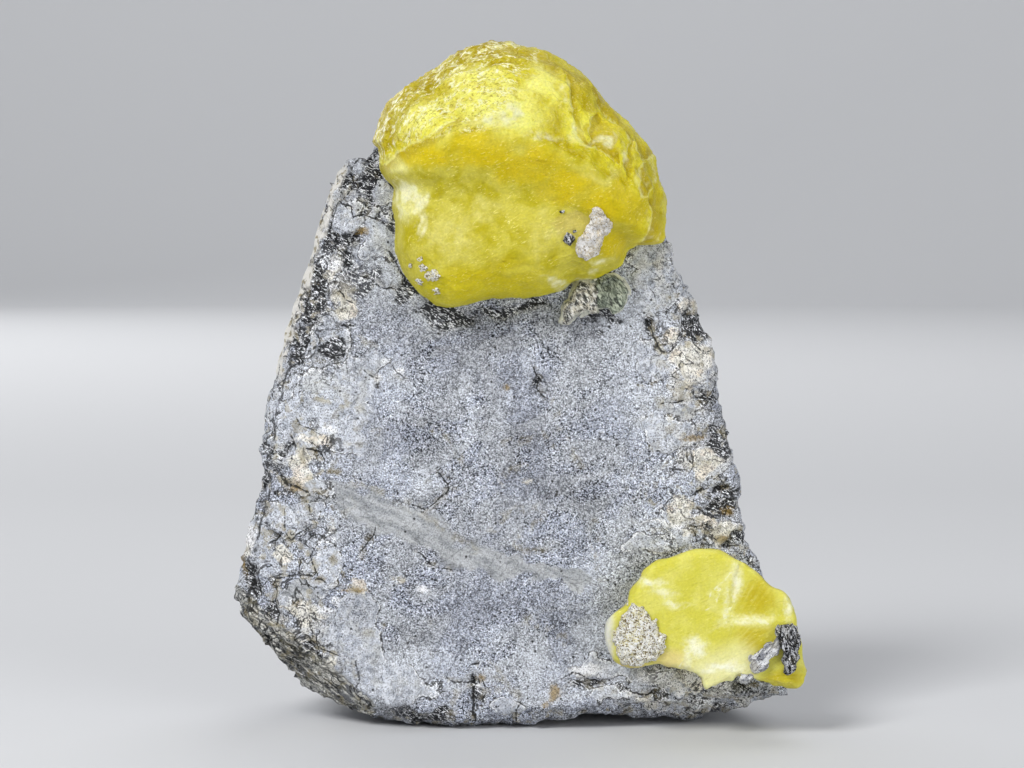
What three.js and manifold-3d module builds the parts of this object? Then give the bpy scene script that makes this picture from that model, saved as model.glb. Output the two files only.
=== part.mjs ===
// Brucite specimen: a large and a small nodule of yellow brucite grown on the flat vein wall of a
// broken slab of grey, chromite-bearing serpentinite, with scraps of the opposite wall still on them.
// Millimetres, +Z up. The show face looks along -Y, +X is to its right, and the slab stands on z = 0.
// The pieces are laid out with the show face near y = 0, and the whole group is then moved so that
// the origin is under the middle of the specimen's box.

import * as THREE from "three";
import { mergeVertices } from "three/addons/utils/BufferGeometryUtils.js";
import Module from "manifold-3d";

const wasm = await Module();
wasm.setup();

// ---- Driving dimensions -------------------------------------------------------------------------

const SPECIMEN_HEIGHT = 90; // floor to the top of the large nodule
const BASE_DEPTH = 34; // slab thickness at the floor
const TOP_DEPTH = 20; // slab thickness where the large nodule sits
const SEAT_HEIGHT = 75; // height at which TOP_DEPTH is measured
const FIT_GAP = 0.35; // clearance between pieces that touch
const MIDDLE_DEPTH = 10.5; // show face to the middle of the whole specimen, front to back

// The slab's outline, seen from the front, as four edges of a warped rectangle: [x, z].
const SLAB_LEFT = [
  [-33, 11.5], [-34.5, 13.6], [-36.3, 15.2], [-36.9, 17], [-36.8, 19.5], [-36.1, 23], [-35.6, 25.2],
  [-34.8, 28], [-34.1, 32], [-33.8, 36], [-33.4, 40], [-32.8, 43], [-31.6, 47.5], [-30.9, 50.5],
  [-29.7, 54.5], [-28.6, 57.8], [-27.2, 61.8], [-26.2, 65.5], [-25.2, 69.5], [-23.9, 72.8], [-22.5, 75],
];
const SLAB_RIGHT = [
  [35.2, 5.2], [35.3, 8], [34, 13], [32.5, 18], [30.8, 21.6], [30, 23.8], [28.9, 27], [28.1, 30],
  [28.4, 31.6], [27.6, 35.5], [26.3, 40.5], [25.2, 45.5], [25, 49.5], [24.1, 53.5], [22.2, 57.2],
  [20.4, 60.4], [19.5, 63], [18.8, 65.5],
];
const SLAB_BOTTOM = [
  [-33, 11.5], [-30.8, 8], [-28.4, 5.2], [-25.5, 4], [-22, 2.8], [-18, 1.6], [-14, 1.1], [-10, 0.4],
  [-6.5, 0.2], [-4.2, 0], [-1.5, 0.3], [1.5, 0.8], [4, 2], [8, 2.3], [13, 2.8], [17.5, 2],
  [22.5, 1.4], [26, 1.9], [30, 3.4], [35.2, 5.2],
];
const SLAB_TOP = [
  [-22.5, 75], [-20.2, 75.3], [-18.8, 77], [-15, 77.8], [-8, 77], [0, 75.5], [8, 72.5], [14, 69.3],
  [18.8, 65.5],
];

// Broken facets along the rim of the show face: a point on the facet's inner edge, the outward
// direction in the plane of the face, and how steeply the facet falls back.
const FRONT_BEVELS = [
  { x: -26, z: 9.9, outX: -0.634, outZ: -0.773, slope: 1.15 }, // lower left corner
  { x: -31.8, z: 30, outX: -0.995, outZ: -0.1, slope: 0.55 }, // left margin
  { x: 25.2, z: 42, outX: 0.96, outZ: 0.28, slope: 0.7 }, // right margin
  { x: -12, z: 3, outX: -0.4, outZ: -0.917, slope: 1.5 }, // undercut left of the foot
  { x: 26, z: 4.7, outX: 0.08, outZ: -0.997, slope: 1.2 }, // undercut below the small nodule
  { x: -23.5, z: 62, outX: -0.95, outZ: 0.3, slope: 0.45 }, // upper left margin
];

// Fracture planes of the rough back: depth at the origin, then change of depth with x and with z.
const BACK_PLANES = [
  { depth: BASE_DEPTH, perX: 0.03, perZ: (TOP_DEPTH - BASE_DEPTH) / SEAT_HEIGHT },
  { depth: 37, perX: -0.16, perZ: -0.3 },
  { depth: 52, perX: 0.95, perZ: -0.06 },
  { depth: 46.5, perX: -0.92, perZ: -0.02 },
  { depth: 56, perX: 0.22, perZ: -0.62 },
  { depth: 44, perX: 0.5, perZ: -0.28 },
];

// Nodules, crusts and chips are lumps: an outline seen from the front around a middle [x, y, z], a
// depth forward and backward of it, and how square its section is (2 is an ellipse).
const LARGE_BRUCITE = {
  x: 0, y: 1, z: 73, front: 13.6, back: 9, square: 2.5,
  outline: [
    [-2, 90], [0, 89.5], [3.5, 88.9], [5.5, 87.8], [8, 86.1], [10, 84.5], [11.4, 82.6], [13, 80.6],
    [14.7, 79.2], [16.2, 77.5], [17.3, 75.6], [17.8, 73.5], [18.8, 71.4], [19.2, 68.2], [18.9, 66],
    [18.7, 64.3], [15.4, 63.7], [14.1, 63], [13.4, 61.2], [11.8, 60.2], [9.8, 59.3], [7.3, 59.1],
    [5.5, 57.9], [3, 57.2], [-1, 57], [-4, 56.7], [-7, 55.8], [-10, 55.7], [-12.5, 57], [-14.2, 58.7],
    [-15.5, 60.8], [-16.2, 63], [-16.1, 66], [-16.6, 69], [-16.5, 71], [-17.6, 72.4], [-18.3, 74],
    [-18.3, 76.4], [-18.8, 77.3], [-18.3, 79.3], [-17.4, 81.6], [-15.5, 83.8], [-13.2, 85.2],
    [-11, 87], [-8, 88.6], [-5, 89.6],
  ],
};
const SMALL_BRUCITE = {
  x: 24, y: 1.5, z: 14.5, front: 8.2, back: 5, square: 5,
  outline: [
    [24.8, 24], [22, 23.8], [20, 23.2], [17.5, 22.3], [16.3, 21.5], [15.6, 20.3], [14.4, 18.7],
    [13.6, 16.8], [12, 15.8], [11.1, 14.8], [10.8, 13], [11.2, 11], [12.2, 9.6], [13.6, 8.7],
    [15, 8.5], [16.4, 8.9], [18, 9], [20, 8.6], [22, 8.2], [23.4, 7.2], [24.2, 6], [26.5, 6.6],
    [28.3, 7.4], [30, 7.2], [32.4, 6.8], [34.6, 6.3], [36, 6.3], [36.8, 7.6], [36.8, 9.6],
    [36.3, 11.6], [36, 14.2], [35.4, 16.6], [34.8, 18.4], [33, 19], [31.4, 20.4], [29.3, 22.2],
    [27.2, 23.3],
  ],
};
const SERPENTINE_FLAKE = {
  x: 10, y: -1, z: 57, thick: 3.4, square: 4,
  outline: [
    [5.6, 54.4], [5.4, 55.8], [6.3, 57.8], [7.2, 59.4], [9.5, 59.8], [11.5, 60.4], [13.8, 59.9],
    [14.3, 57.5], [13.6, 55.6], [12.4, 55], [11, 55.4], [9.5, 55.1], [8, 54.9], [6.8, 54.3],
  ],
};
const LARGE_CRUST = {
  x: 9.3, z: 65.2, thick: 0.9, square: 3,
  outline: [
    [9.7, 68.8], [10.8, 68.2], [11.5, 67], [11.2, 65.8], [10.5, 64.8], [10, 63.2], [9.2, 62.2],
    [8.2, 62], [7.3, 62.8], [7, 63.8], [7.7, 64.9], [8.2, 66], [8.9, 67.2], [9.2, 68.2],
  ],
};
const SMALL_CRUST = {
  x: 15, z: 13, thick: 1.2, square: 3,
  outline: [
    [14.2, 18], [15.3, 17.4], [16.3, 16.5], [17.5, 15.5], [17.7, 14.4], [18.6, 13.2], [18.7, 12],
    [18, 10.7], [16.8, 10.2], [15.4, 9.8], [14, 9.9], [12.7, 10.8], [12.2, 12.3], [12.3, 14.2],
    [13.3, 15.7],
  ],
};
const RIGHT_CHIP = {
  x: 34, z: 12, thick: 1.6, square: 3,
  outline: [
    [33.2, 13.6], [34, 15], [35.2, 14.6], [35.8, 13.8], [35.8, 12], [35.5, 10.5], [35.2, 8.7],
    [34.3, 8.4], [33.9, 9.9], [33.3, 10.9], [32, 10.1], [30.5, 9.2], [29.9, 9.8], [30.5, 10.8],
    [32, 11.9],
  ],
};
// Small scraps on the large nodule: middle, half width and half height.
const SCRAPS = {
  dark_chip: { x: 6.2, z: 64.7, halfWidth: 0.75, halfHeight: 0.65 },
  white_fleck: { x: -11.6, z: 60.3, halfWidth: 1.15, halfHeight: 0.75 },
};
const SCRAP_THICKNESS = 0.9;

// Mesh fineness: cells along each side of the box or cube that a piece is wrapped from.
const SLAB_CELLS = [20, 9, 23];
const LARGE_CELLS = 12;
const SMALL_CELLS = 10;
const CHIP_CELLS = 4;
const SCRAP_CELLS = 3;

// ---- Helpers ------------------------------------------------------------------------------------

const clamp01 = (t) => Math.min(Math.max(t, 0), 1);
const smooth = (t) => clamp01(t) ** 2 * (3 - 2 * clamp01(t));
const mix = (a, b, t) => a + (b - a) * t;

// A fixed pseudo-random number from 0 to 1 for each point of a whole-number lattice.
function latticeNumber(i, j, k) {
  const s = Math.sin(i * 12.9898 + j * 78.233 + k * 37.719) * 43758.5453;
  return s - Math.floor(s);
}

// Smooth noise from -1 to 1: lattice numbers blended by smoothstep along the three axes.
function noise(x, y, z) {
  const [i, j, k] = [Math.floor(x), Math.floor(y), Math.floor(z)];
  const [u, v, w] = [smooth(x - i), smooth(y - j), smooth(z - k)];
  const alongX = (dj, dk) => mix(latticeNumber(i, j + dj, k + dk), latticeNumber(i + 1, j + dj, k + dk), u);
  const alongY = (dk) => mix(alongX(0, dk), alongX(1, dk), v);
  return 2 * mix(alongY(0), alongY(1), w) - 1;
}

// Noise summed over octaves, each twice as fine and half as strong as the one before.
function roughness(x, y, z, size, octaves) {
  let sum = 0;
  for (let n = 0; n < octaves; n += 1) {
    sum += noise((x * 2 ** n) / size + 17 * n, (y * 2 ** n) / size, (z * 2 ** n) / size) / 2 ** n;
  }
  return sum;
}

// The point a share t of the way along a polyline, by length.
function along(points, t) {
  const reach = [0];
  for (let n = 1; n < points.length; n += 1) {
    const step = Math.hypot(points[n][0] - points[n - 1][0], points[n][1] - points[n - 1][1]);
    reach.push(reach[n - 1] + step);
  }
  const goal = clamp01(t) * reach[reach.length - 1];
  const n = Math.max(1, reach.findIndex((r) => r >= goal));
  const share = (goal - reach[n - 1]) / (reach[n] - reach[n - 1]);
  return [mix(points[n - 1][0], points[n][0], share), mix(points[n - 1][1], points[n][1], share)];
}

// The outline's distance from its middle in direction angle, as a smooth curve through its points.
function outlineRadius(lump, angle) {
  if (!lump.polar) {
    lump.polar = lump.outline
      .map(([x, z]) => [Math.atan2(z - lump.z, x - lump.x), Math.hypot(x - lump.x, z - lump.z)])
      .sort((p, q) => p[0] - q[0]);
  }
  const count = lump.polar.length;
  const at = (n) => {
    const turns = Math.floor(n / count);
    const [a, r] = lump.polar[n - turns * count];
    return [a + turns * 2 * Math.PI, r];
  };
  let n = lump.polar.findIndex(([a]) => a > angle);
  if (n < 0) n = count;
  const [[a0, r0], [a1, r1], [a2, r2], [a3, r3]] = [at(n - 2), at(n - 1), at(n), at(n + 1)];
  const span = a2 - a1;
  const t = (angle - a1) / span;
  const slopeIn = ((r2 - r0) / (a2 - a0)) * span;
  const slopeOut = ((r3 - r1) / (a3 - a1)) * span;
  return (
    (2 * t ** 3 - 3 * t ** 2 + 1) * r1 +
    (t ** 3 - 2 * t ** 2 + t) * slopeIn +
    (3 * t ** 2 - 2 * t ** 3) * r2 +
    (t ** 3 - t ** 2) * slopeOut
  );
}

// A box or cube surface of given cells whose vertices are moved by shape(x, y, z) from -1..1.
function wrapped(cellsX, cellsY, cellsZ, shape) {
  const geometry = new THREE.BoxGeometry(2, 2, 2, cellsX, cellsY, cellsZ);
  geometry.deleteAttribute("normal");
  geometry.deleteAttribute("uv");
  const merged = mergeVertices(geometry, 1e-4);
  const position = merged.getAttribute("position");
  const point = new THREE.Vector3();
  for (let n = 0; n < position.count; n += 1) {
    point.fromBufferAttribute(position, n);
    position.setXYZ(n, ...shape(point.x, point.y, point.z));
  }
  return merged;
}

function solidOf(geometry) {
  const vertProperties = new Float32Array(geometry.getAttribute("position").array);
  const triVerts = new Uint32Array(geometry.index.array);
  return new wasm.Manifold(new wasm.Mesh({ numProp: 3, vertProperties, triVerts }));
}

function geometryOf(solid) {
  const { vertProperties, triVerts } = solid.getMesh();
  const geometry = new THREE.BufferGeometry();
  geometry.setAttribute("position", new THREE.BufferAttribute(new Float32Array(vertProperties), 3));
  geometry.setIndex(new THREE.BufferAttribute(new Uint32Array(triVerts), 1));
  return geometry;
}

// ---- The slab -----------------------------------------------------------------------------------

const FACE_SWELL = 0.45; // gentle unevenness of the vein wall
const RIM_RADIUS = 1; // worn edge round the show face
const SIDE_BULGE = 0.006; // the sides swell by this share just behind the rim
const BACK_NARROWING = { x: 0.11, z: 0.05 }; // the back is smaller than the show face by these shares
const UNDERSIDE_FALL = 0.17; // how fast the underside falls from the front edge to the floor
const SIDE_ROUGHNESS = 1.1;
const BACK_ROUGHNESS = 1.3;
const FRACTURE_SIZE = 9; // size of the largest lumps on the broken sides and back

// Depth of the vein wall at x, z: a gentle swell, cut back by the broken facets.
function slabFront(x, z) {
  const facets = FRONT_BEVELS.map((b) => b.slope * ((x - b.x) * b.outX + (z - b.z) * b.outZ));
  return FACE_SWELL * roughness(x, 4, z, 24, 2) + Math.max(0, ...facets);
}

// Depth of the rough back at x, z: the nearest of the fracture planes.
function slabBack(x, z) {
  return Math.min(...BACK_PLANES.map((p) => p.depth + p.perX * x + p.perZ * z));
}

// The slab's outline stretched over a, c in 0..1: opposite edges blended, less the blended corners.
function slabFace(a, c) {
  const [left, right] = [along(SLAB_LEFT, c), along(SLAB_RIGHT, c)];
  const [bottom, top] = [along(SLAB_BOTTOM, a), along(SLAB_TOP, a)];
  return [0, 1].map((n) => {
    const lowCorners = mix(SLAB_LEFT[0][n], SLAB_RIGHT[0][n], a);
    const highCorners = mix(SLAB_LEFT.at(-1)[n], SLAB_RIGHT.at(-1)[n], a);
    return mix(left[n], right[n], a) + mix(bottom[n], top[n], c) - mix(lowCorners, highCorners, c);
  });
}

// A point of the slab for a across, b from front to back and c upward, each 0..1.
function slabPoint(a, b, c) {
  const [faceX, faceZ] = slabFace(a, c);
  const [width, height] = [60, 70];
  const toEdge = Math.min(a * width, (1 - a) * width, c * height, (1 - c) * height, RIM_RADIUS);
  const worn = RIM_RADIUS - Math.sqrt(RIM_RADIUS ** 2 - (RIM_RADIUS - toEdge) ** 2);
  const front = slabFront(faceX, faceZ) + worn;
  const bulge = SIDE_BULGE * smooth(b / 0.1);
  const x = faceX * (1 + bulge - BACK_NARROWING.x * b ** 1.5);
  const z = faceZ * (1 + 0.5 * bulge * c - BACK_NARROWING.z * b ** 1.5);
  const back = slabBack(x, z) - worn;
  const y = mix(front, back, b);
  const sideRoughness = SIDE_ROUGHNESS * smooth((b - 0.04) / 0.2) * (1 - smooth((b - 0.85) / 0.15));
  const push = (sideRoughness * roughness(x, y, z, FRACTURE_SIZE, 2)) / Math.hypot(x, z - 38);
  const fall = UNDERSIDE_FALL * (y - front) * (1 - c) ** 8;
  return [
    x * (1 + push),
    y + BACK_ROUGHNESS * smooth((b - 0.7) / 0.3) * roughness(x, 50, z, FRACTURE_SIZE, 2),
    Math.max(0, z + push * (z - 38) - fall),
  ];
}

// ---- Nodules, crusts and chips ------------------------------------------------------------------

// The large nodule's broken lower face: below an arched lip it drops back, then swells forward again.
function largeBreak(x, z) {
  const below = 77.8 - 0.018 * (x + 4) ** 2 - z;
  const drop = 5.6 - 2.2 * smooth((x - 4) / 10);
  return below < 0 ? -Infinity : -13.2 + drop * smooth(below / 7.5) - 1.1 * smooth((below - 9) / 9);
}

// The small nodule's face, broken flat and very slightly dished.
function smallBreak(x, z) {
  return -6.1 - 0.0022 * ((x - 23) ** 2 + (z - 14) ** 2);
}

// Depth of a nodule's front at x, z.
function noduleFront(lump, broken, x, z) {
  const reach = Math.hypot(x - lump.x, z - lump.z);
  const share = clamp01(reach / outlineRadius(lump, Math.atan2(z - lump.z, x - lump.x)));
  const dome = lump.y - lump.front * (1 - share ** lump.square) ** (1 / lump.square);
  return Math.max(dome, broken(x, z));
}
const largeFront = (x, z) => noduleFront(LARGE_BRUCITE, largeBreak, x, z);
const smallFront = (x, z) => noduleFront(SMALL_BRUCITE, smallBreak, x, z);

// Where a direction of a cube's surface lands in the plane of an outline, and how far it points
// forward (positive) or backward (negative), both on a section of the lump's squareness.
function spreadOver(lump, x, y, z, grow) {
  const length = Math.hypot(x, y, z);
  const across = (Math.hypot(x, z) / length) ** (2 / lump.square);
  const forward = -Math.sign(y) * (Math.abs(y) / length) ** (2 / lump.square);
  const angle = Math.atan2(z, x);
  const radius = (outlineRadius(lump, angle) + grow) * across;
  return [lump.x + radius * Math.cos(angle), lump.z + radius * Math.sin(angle), forward];
}

// A closed nodule, swollen by grow on all sides when it is used as a cutter.
function nodule(lump, front, cells, grow = 0) {
  return wrapped(cells, cells, cells, (u, v, w) => {
    const [x, z, forward] = spreadOver(lump, u, v, w, grow);
    const shrink = 1 - grow / 15;
    const inner = [lump.x + (x - lump.x) * shrink, lump.z + (z - lump.z) * shrink];
    const facing = Math.min(front(...inner), lump.y) - grow * forward;
    return [x, forward > 0 ? facing : lump.y - forward * (lump.back + grow), z];
  });
}

// A lens-shaped scrap half sunk in a surface, less whatever it lies on.
function scrap(lump, surface, cells, base) {
  const lens = wrapped(cells, cells, cells, (u, v, w) => {
    const [x, z, forward] = spreadOver(lump, u, v, w, 0);
    return [x, surface(x, z) - lump.thick * forward, z];
  });
  return geometryOf(solidOf(lens).subtract(base));
}

// The outline of a small oval scrap, as eight points of an ellipse.
function ovalScrap({ x, z, halfWidth, halfHeight }) {
  const outline = Array.from({ length: 8 }, (_, n) => {
    const angle = (n * Math.PI) / 4;
    return [x + halfWidth * Math.cos(angle), z + halfHeight * Math.sin(angle)];
  });
  return { x, z, thick: SCRAP_THICKNESS, square: 2.5, outline };
}

// ---- Assembly -----------------------------------------------------------------------------------

const FINISH = {
  rock: { color: 0x9a9ba0, roughness: 0.85, metalness: 0 },
  brucite: { color: 0xd9c93c, roughness: 0.35, metalness: 0 },
  crust: { color: 0xd9d3c4, roughness: 0.8, metalness: 0 },
  serpentine: { color: 0x9ba088, roughness: 0.6, metalness: 0 },
};

const specimen = new THREE.Group();
specimen.name = "brucite_specimen";

function addPiece(name, geometry, finish) {
  const piece = new THREE.Mesh(geometry, new THREE.MeshStandardMaterial(FINISH[finish]));
  piece.name = name;
  specimen.add(piece);
}

const largeCutter = solidOf(nodule(LARGE_BRUCITE, largeFront, LARGE_CELLS, FIT_GAP));
const smallCutter = solidOf(nodule(SMALL_BRUCITE, smallFront, SMALL_CELLS, FIT_GAP));
const wholeSlab = solidOf(
  wrapped(...SLAB_CELLS, (u, v, w) => slabPoint((u + 1) / 2, (v + 1) / 2, (w + 1) / 2)),
);
const seatedSlab = wholeSlab.subtract(largeCutter).subtract(smallCutter);
const flakeBase = wholeSlab.add(largeCutter);

addPiece("rock_slab", geometryOf(seatedSlab), "rock");
addPiece("large_brucite", nodule(LARGE_BRUCITE, largeFront, LARGE_CELLS), "brucite");
addPiece("small_brucite", nodule(SMALL_BRUCITE, smallFront, SMALL_CELLS), "brucite");
addPiece("serpentine_flake", scrap(SERPENTINE_FLAKE, slabFront, CHIP_CELLS, flakeBase), "serpentine");
addPiece("large_crust", scrap(LARGE_CRUST, largeFront, CHIP_CELLS, largeCutter), "crust");
addPiece("small_crust", scrap(SMALL_CRUST, smallFront, CHIP_CELLS, smallCutter), "crust");
addPiece("right_chip", scrap(RIGHT_CHIP, smallFront, CHIP_CELLS, smallCutter), "rock");
for (const [name, size] of Object.entries(SCRAPS)) {
  const finish = name === "dark_chip" ? "rock" : "crust";
  addPiece(name, scrap(ovalScrap(size), largeFront, SCRAP_CELLS, largeCutter), finish);
}

specimen.position.set(0, -MIDDLE_DEPTH, 0);

export default specimen;
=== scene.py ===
# %% [markdown]
# # Yellow brucite on speckled grey rock
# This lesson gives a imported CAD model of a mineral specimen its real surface. The specimen is a broken
# slab of serpentinite that stands on its lower edge. Its front is the flat wall of a vein. A large
# nodule of waxy yellow brucite hangs over the slab's top, and a small one sits low on the right.
#
# The CAD solids are coarse on purpose. Every piece here is a much finer surface on the same outlines,
# made with numpy and handed to Blender whole. Lengths are in millimetres until a mesh is made.

import math

import bpy
import numpy as np
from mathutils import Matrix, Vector


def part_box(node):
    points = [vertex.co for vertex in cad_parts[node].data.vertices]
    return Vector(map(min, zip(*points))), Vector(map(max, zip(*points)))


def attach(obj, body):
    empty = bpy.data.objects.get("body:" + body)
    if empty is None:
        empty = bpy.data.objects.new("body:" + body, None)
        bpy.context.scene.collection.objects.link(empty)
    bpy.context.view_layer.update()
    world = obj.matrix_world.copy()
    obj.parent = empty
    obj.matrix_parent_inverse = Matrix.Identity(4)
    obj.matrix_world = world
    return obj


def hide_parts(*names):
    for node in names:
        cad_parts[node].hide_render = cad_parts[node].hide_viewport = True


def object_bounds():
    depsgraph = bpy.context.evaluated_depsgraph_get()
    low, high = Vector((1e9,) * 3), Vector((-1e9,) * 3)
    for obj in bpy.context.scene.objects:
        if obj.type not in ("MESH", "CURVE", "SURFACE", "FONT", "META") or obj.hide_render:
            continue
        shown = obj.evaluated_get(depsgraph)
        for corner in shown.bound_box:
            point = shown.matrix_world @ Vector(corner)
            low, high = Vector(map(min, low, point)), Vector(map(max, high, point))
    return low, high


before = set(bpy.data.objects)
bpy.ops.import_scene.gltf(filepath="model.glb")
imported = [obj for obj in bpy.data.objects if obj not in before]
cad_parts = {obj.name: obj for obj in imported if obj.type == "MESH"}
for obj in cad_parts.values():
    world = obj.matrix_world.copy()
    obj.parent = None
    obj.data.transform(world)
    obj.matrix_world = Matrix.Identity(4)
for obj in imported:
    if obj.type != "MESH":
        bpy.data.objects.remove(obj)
packed_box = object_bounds()
MM = 0.001
print("packed box in mm", [[round(v / MM, 1) for v in corner] for corner in packed_box])

# %% [markdown]
# ## Noise, cells and facets
# Broken rock has no formula, but its roughness can be built from a few. *Value noise* blends random
# numbers on a lattice and gives soft unevenness. *Cells* share out space between scattered points, as
# grains and blocks do. *Facets* tilt a little plane in each cell, which gives the sharp steps of a
# fracture. All of them take whole arrays, so a surface of 90,000 points takes a moment.

# %% Noise
def smooth(t):
    """0 below 0, 1 above 1 and 3 t squared less 2 t cubed between."""
    t = np.clip(t, 0, 1)
    return t * t * (3 - 2 * t)


def lattice_number(i, j, k):
    """A fixed random-looking number from 0 to 1 for each lattice point: the fraction of a large sine."""
    s = np.sin(i * 12.9898 + j * 78.233 + k * 37.719) * 43758.5453
    return s - np.floor(s)


def noise(x, y, z):
    """Lattice numbers blended by the smooth step along the three axes, from -1 to 1."""
    i, j, k = np.floor(x), np.floor(y), np.floor(z)
    u, v, w = smooth(x - i), smooth(y - j), smooth(z - k)
    total = 0
    for di, share_x in ((0, 1 - u), (1, u)):
        for dj, share_y in ((0, 1 - v), (1, v)):
            for dk, share_z in ((0, 1 - w), (1, w)):
                total = total + share_x * share_y * share_z * lattice_number(i + di, j + dj, k + dk)
    return 2 * total - 1


def roughness(x, y, z, size, octaves):
    """Noise summed over octaves, each twice as fine and half as strong as the one before."""
    return sum(
        noise(x * 2**n / size + 17 * n, y * 2**n / size, z * 2**n / size) / 2**n for n in range(octaves)
    )


# %% Cells and facets
def cells(x, y, z, size):
    """Distance to the nearest of one scattered point per lattice cube, the margin by which it is the
    nearest, and that cube's i, j, k with the offset from its point. Distances are in cell sizes."""
    px, py, pz = x / size, y / size, z / size
    i0, j0, k0 = np.floor(px), np.floor(py), np.floor(pz)
    nearest = np.full(px.shape, 9.0)
    second = np.full(px.shape, 9.0)
    found = np.zeros((6, px.size))
    for n in range(27):
        i, j, k = i0 + n % 3 - 1, j0 + n // 3 % 3 - 1, k0 + n // 9 - 1
        dx = px - i - lattice_number(i, j, k)
        dy = py - j - lattice_number(j, k, i + 40)
        dz = pz - k - lattice_number(k, i + 80, j)
        reach = np.sqrt(dx * dx + dy * dy + dz * dz)
        closer = reach < nearest
        second = np.where(closer, nearest, np.minimum(second, reach))
        nearest = np.where(closer, reach, nearest)
        found = np.where(closer, np.stack([i, j, k, dx, dy, dz]), found)
    return nearest, second - nearest, found


def facets(x, y, z, size, tilt):
    """A tilted step for each cell: a random height from -1 to 1 plus a random slope times the offset."""
    _, _, (i, j, k, dx, dy, dz) = cells(x, y, z, size)
    slope_x, slope_y, slope_z = (lattice_number(i + 5 * n, j + 11, k + 3) - 0.5 for n in range(3))
    height = 2 * lattice_number(i + 9, j, k + 31) - 1
    return height + tilt * (slope_x * dx + slope_y * dy + slope_z * dz)


# %% [markdown]
# ## Closed surfaces from a box of cells
# A stone could be a sphere of rings, but those pinch at its poles, or a sculpted block, but that has to
# be remeshed. Every solid here is one skin wrapped from the surface of a box of cells, which has no
# poles and no seam to close. The slab keeps the box's corners. The nodules and scraps round them off.

# %% Box skin
def box_skin(cells_x, cells_y, cells_z):
    """Points 0 to 1 on a box's surface lattice and its quads: each face is a grid of numbers whose
    neighbours make quads, wound so that they face outwards."""
    i, j, k = np.meshgrid(*(np.arange(n + 1) for n in (cells_x, cells_y, cells_z)), indexing="ij")
    on = (i % cells_x == 0) | (j % cells_y == 0) | (k % cells_z == 0)
    number = np.zeros(on.shape, int)
    number[on] = np.arange(on.sum())
    points = np.stack([i[on] / cells_x, j[on] / cells_y, k[on] / cells_z], 1)

    def grid(n):
        return np.stack([n[:-1, :-1], n[1:, :-1], n[1:, 1:], n[:-1, 1:]], -1).reshape(-1, 4)

    outward = [grid(number[:, 0, :]), grid(number[-1]), grid(number[:, :, -1])]
    inward = [grid(number[:, -1, :]), grid(number[0]), grid(number[:, :, 0])]
    return points, np.concatenate(outward + [quads[:, ::-1] for quads in inward])


def normals(points, quads):
    """Unit normal at each point: its quads' areas, as half the cross product of their diagonals, summed."""
    corners = points[quads]
    areas = np.cross(corners[:, 2] - corners[:, 0], corners[:, 3] - corners[:, 1])
    total = np.zeros_like(points)
    for n in range(4):
        np.add.at(total, quads[:, n], areas)
    return total / np.linalg.norm(total, axis=1, keepdims=True)


cube_points, cube_quads = box_skin(2, 2, 2)
print("a box of 2 x 2 x 2 cells has", len(cube_points), "points and", len(cube_quads), "quads")

# %% [markdown]
# ## From the layout to the frame
# The pieces are laid out with the show face near y = 0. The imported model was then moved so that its
# origin is under its middle. The small nodule's back is a plane in both, so it tells by how much.

# %% Piece maker
SMALL_BACK_DEPTH = 6.5
layout_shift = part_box("small_brucite")[1].y / MM - SMALL_BACK_DEPTH
print("layout moved by", round(layout_shift, 3), "mm in y")


def make_piece(name, points, quads, material, node, fields=None):
    """A smooth-shaded mesh of layout points, with its fields as point attributes. It rides on the root
    and stands for a CAD node."""
    mesh = bpy.data.meshes.new(name)
    placed = (points + (0, layout_shift, 0)) * MM
    mesh.from_pydata(placed.tolist(), [], quads.tolist())
    mesh.polygons.foreach_set("use_smooth", np.ones(len(quads), bool))
    for field, values in (fields or {}).items():
        attribute = mesh.attributes.new(field, "FLOAT", "POINT")
        attribute.data.foreach_set("value", np.ascontiguousarray(values, np.float32))
    mesh.materials.append(material)
    mesh.update()
    piece = bpy.data.objects.new(name, mesh)
    bpy.context.scene.collection.objects.link(piece)
    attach(piece, "root")
    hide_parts(node)
    low, high = (placed.min(0) / MM).round(1), (placed.max(0) / MM).round(1)
    print(name, len(points), "points,", 2 * len(quads), "triangles,", low, "to", high, "mm")


# %% [markdown]
# ## Writing down a finish
# A finish is a node tree. Written out node by node it is long, so two small classes shorten it. A
# *level* is what one node puts out. Levels are added, multiplied and cut off as numbers are, and each
# such step becomes a node. A *finish* makes the levels and wires the last ones to the shader. Patterns
# read Object coordinates, in millimetres here, or the fields that a piece carries, so they stay put
# when the model is turned or exported.

# %% Levels
def paint(red, green, blue):
    """A linear colour from 0 to 255 display values: ((v / 255 + 0.055) / 1.055) to the power 2.4."""
    return (*(((v / 255 + 0.055) / 1.055) ** 2.4 for v in (red, green, blue)), 1)


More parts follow.
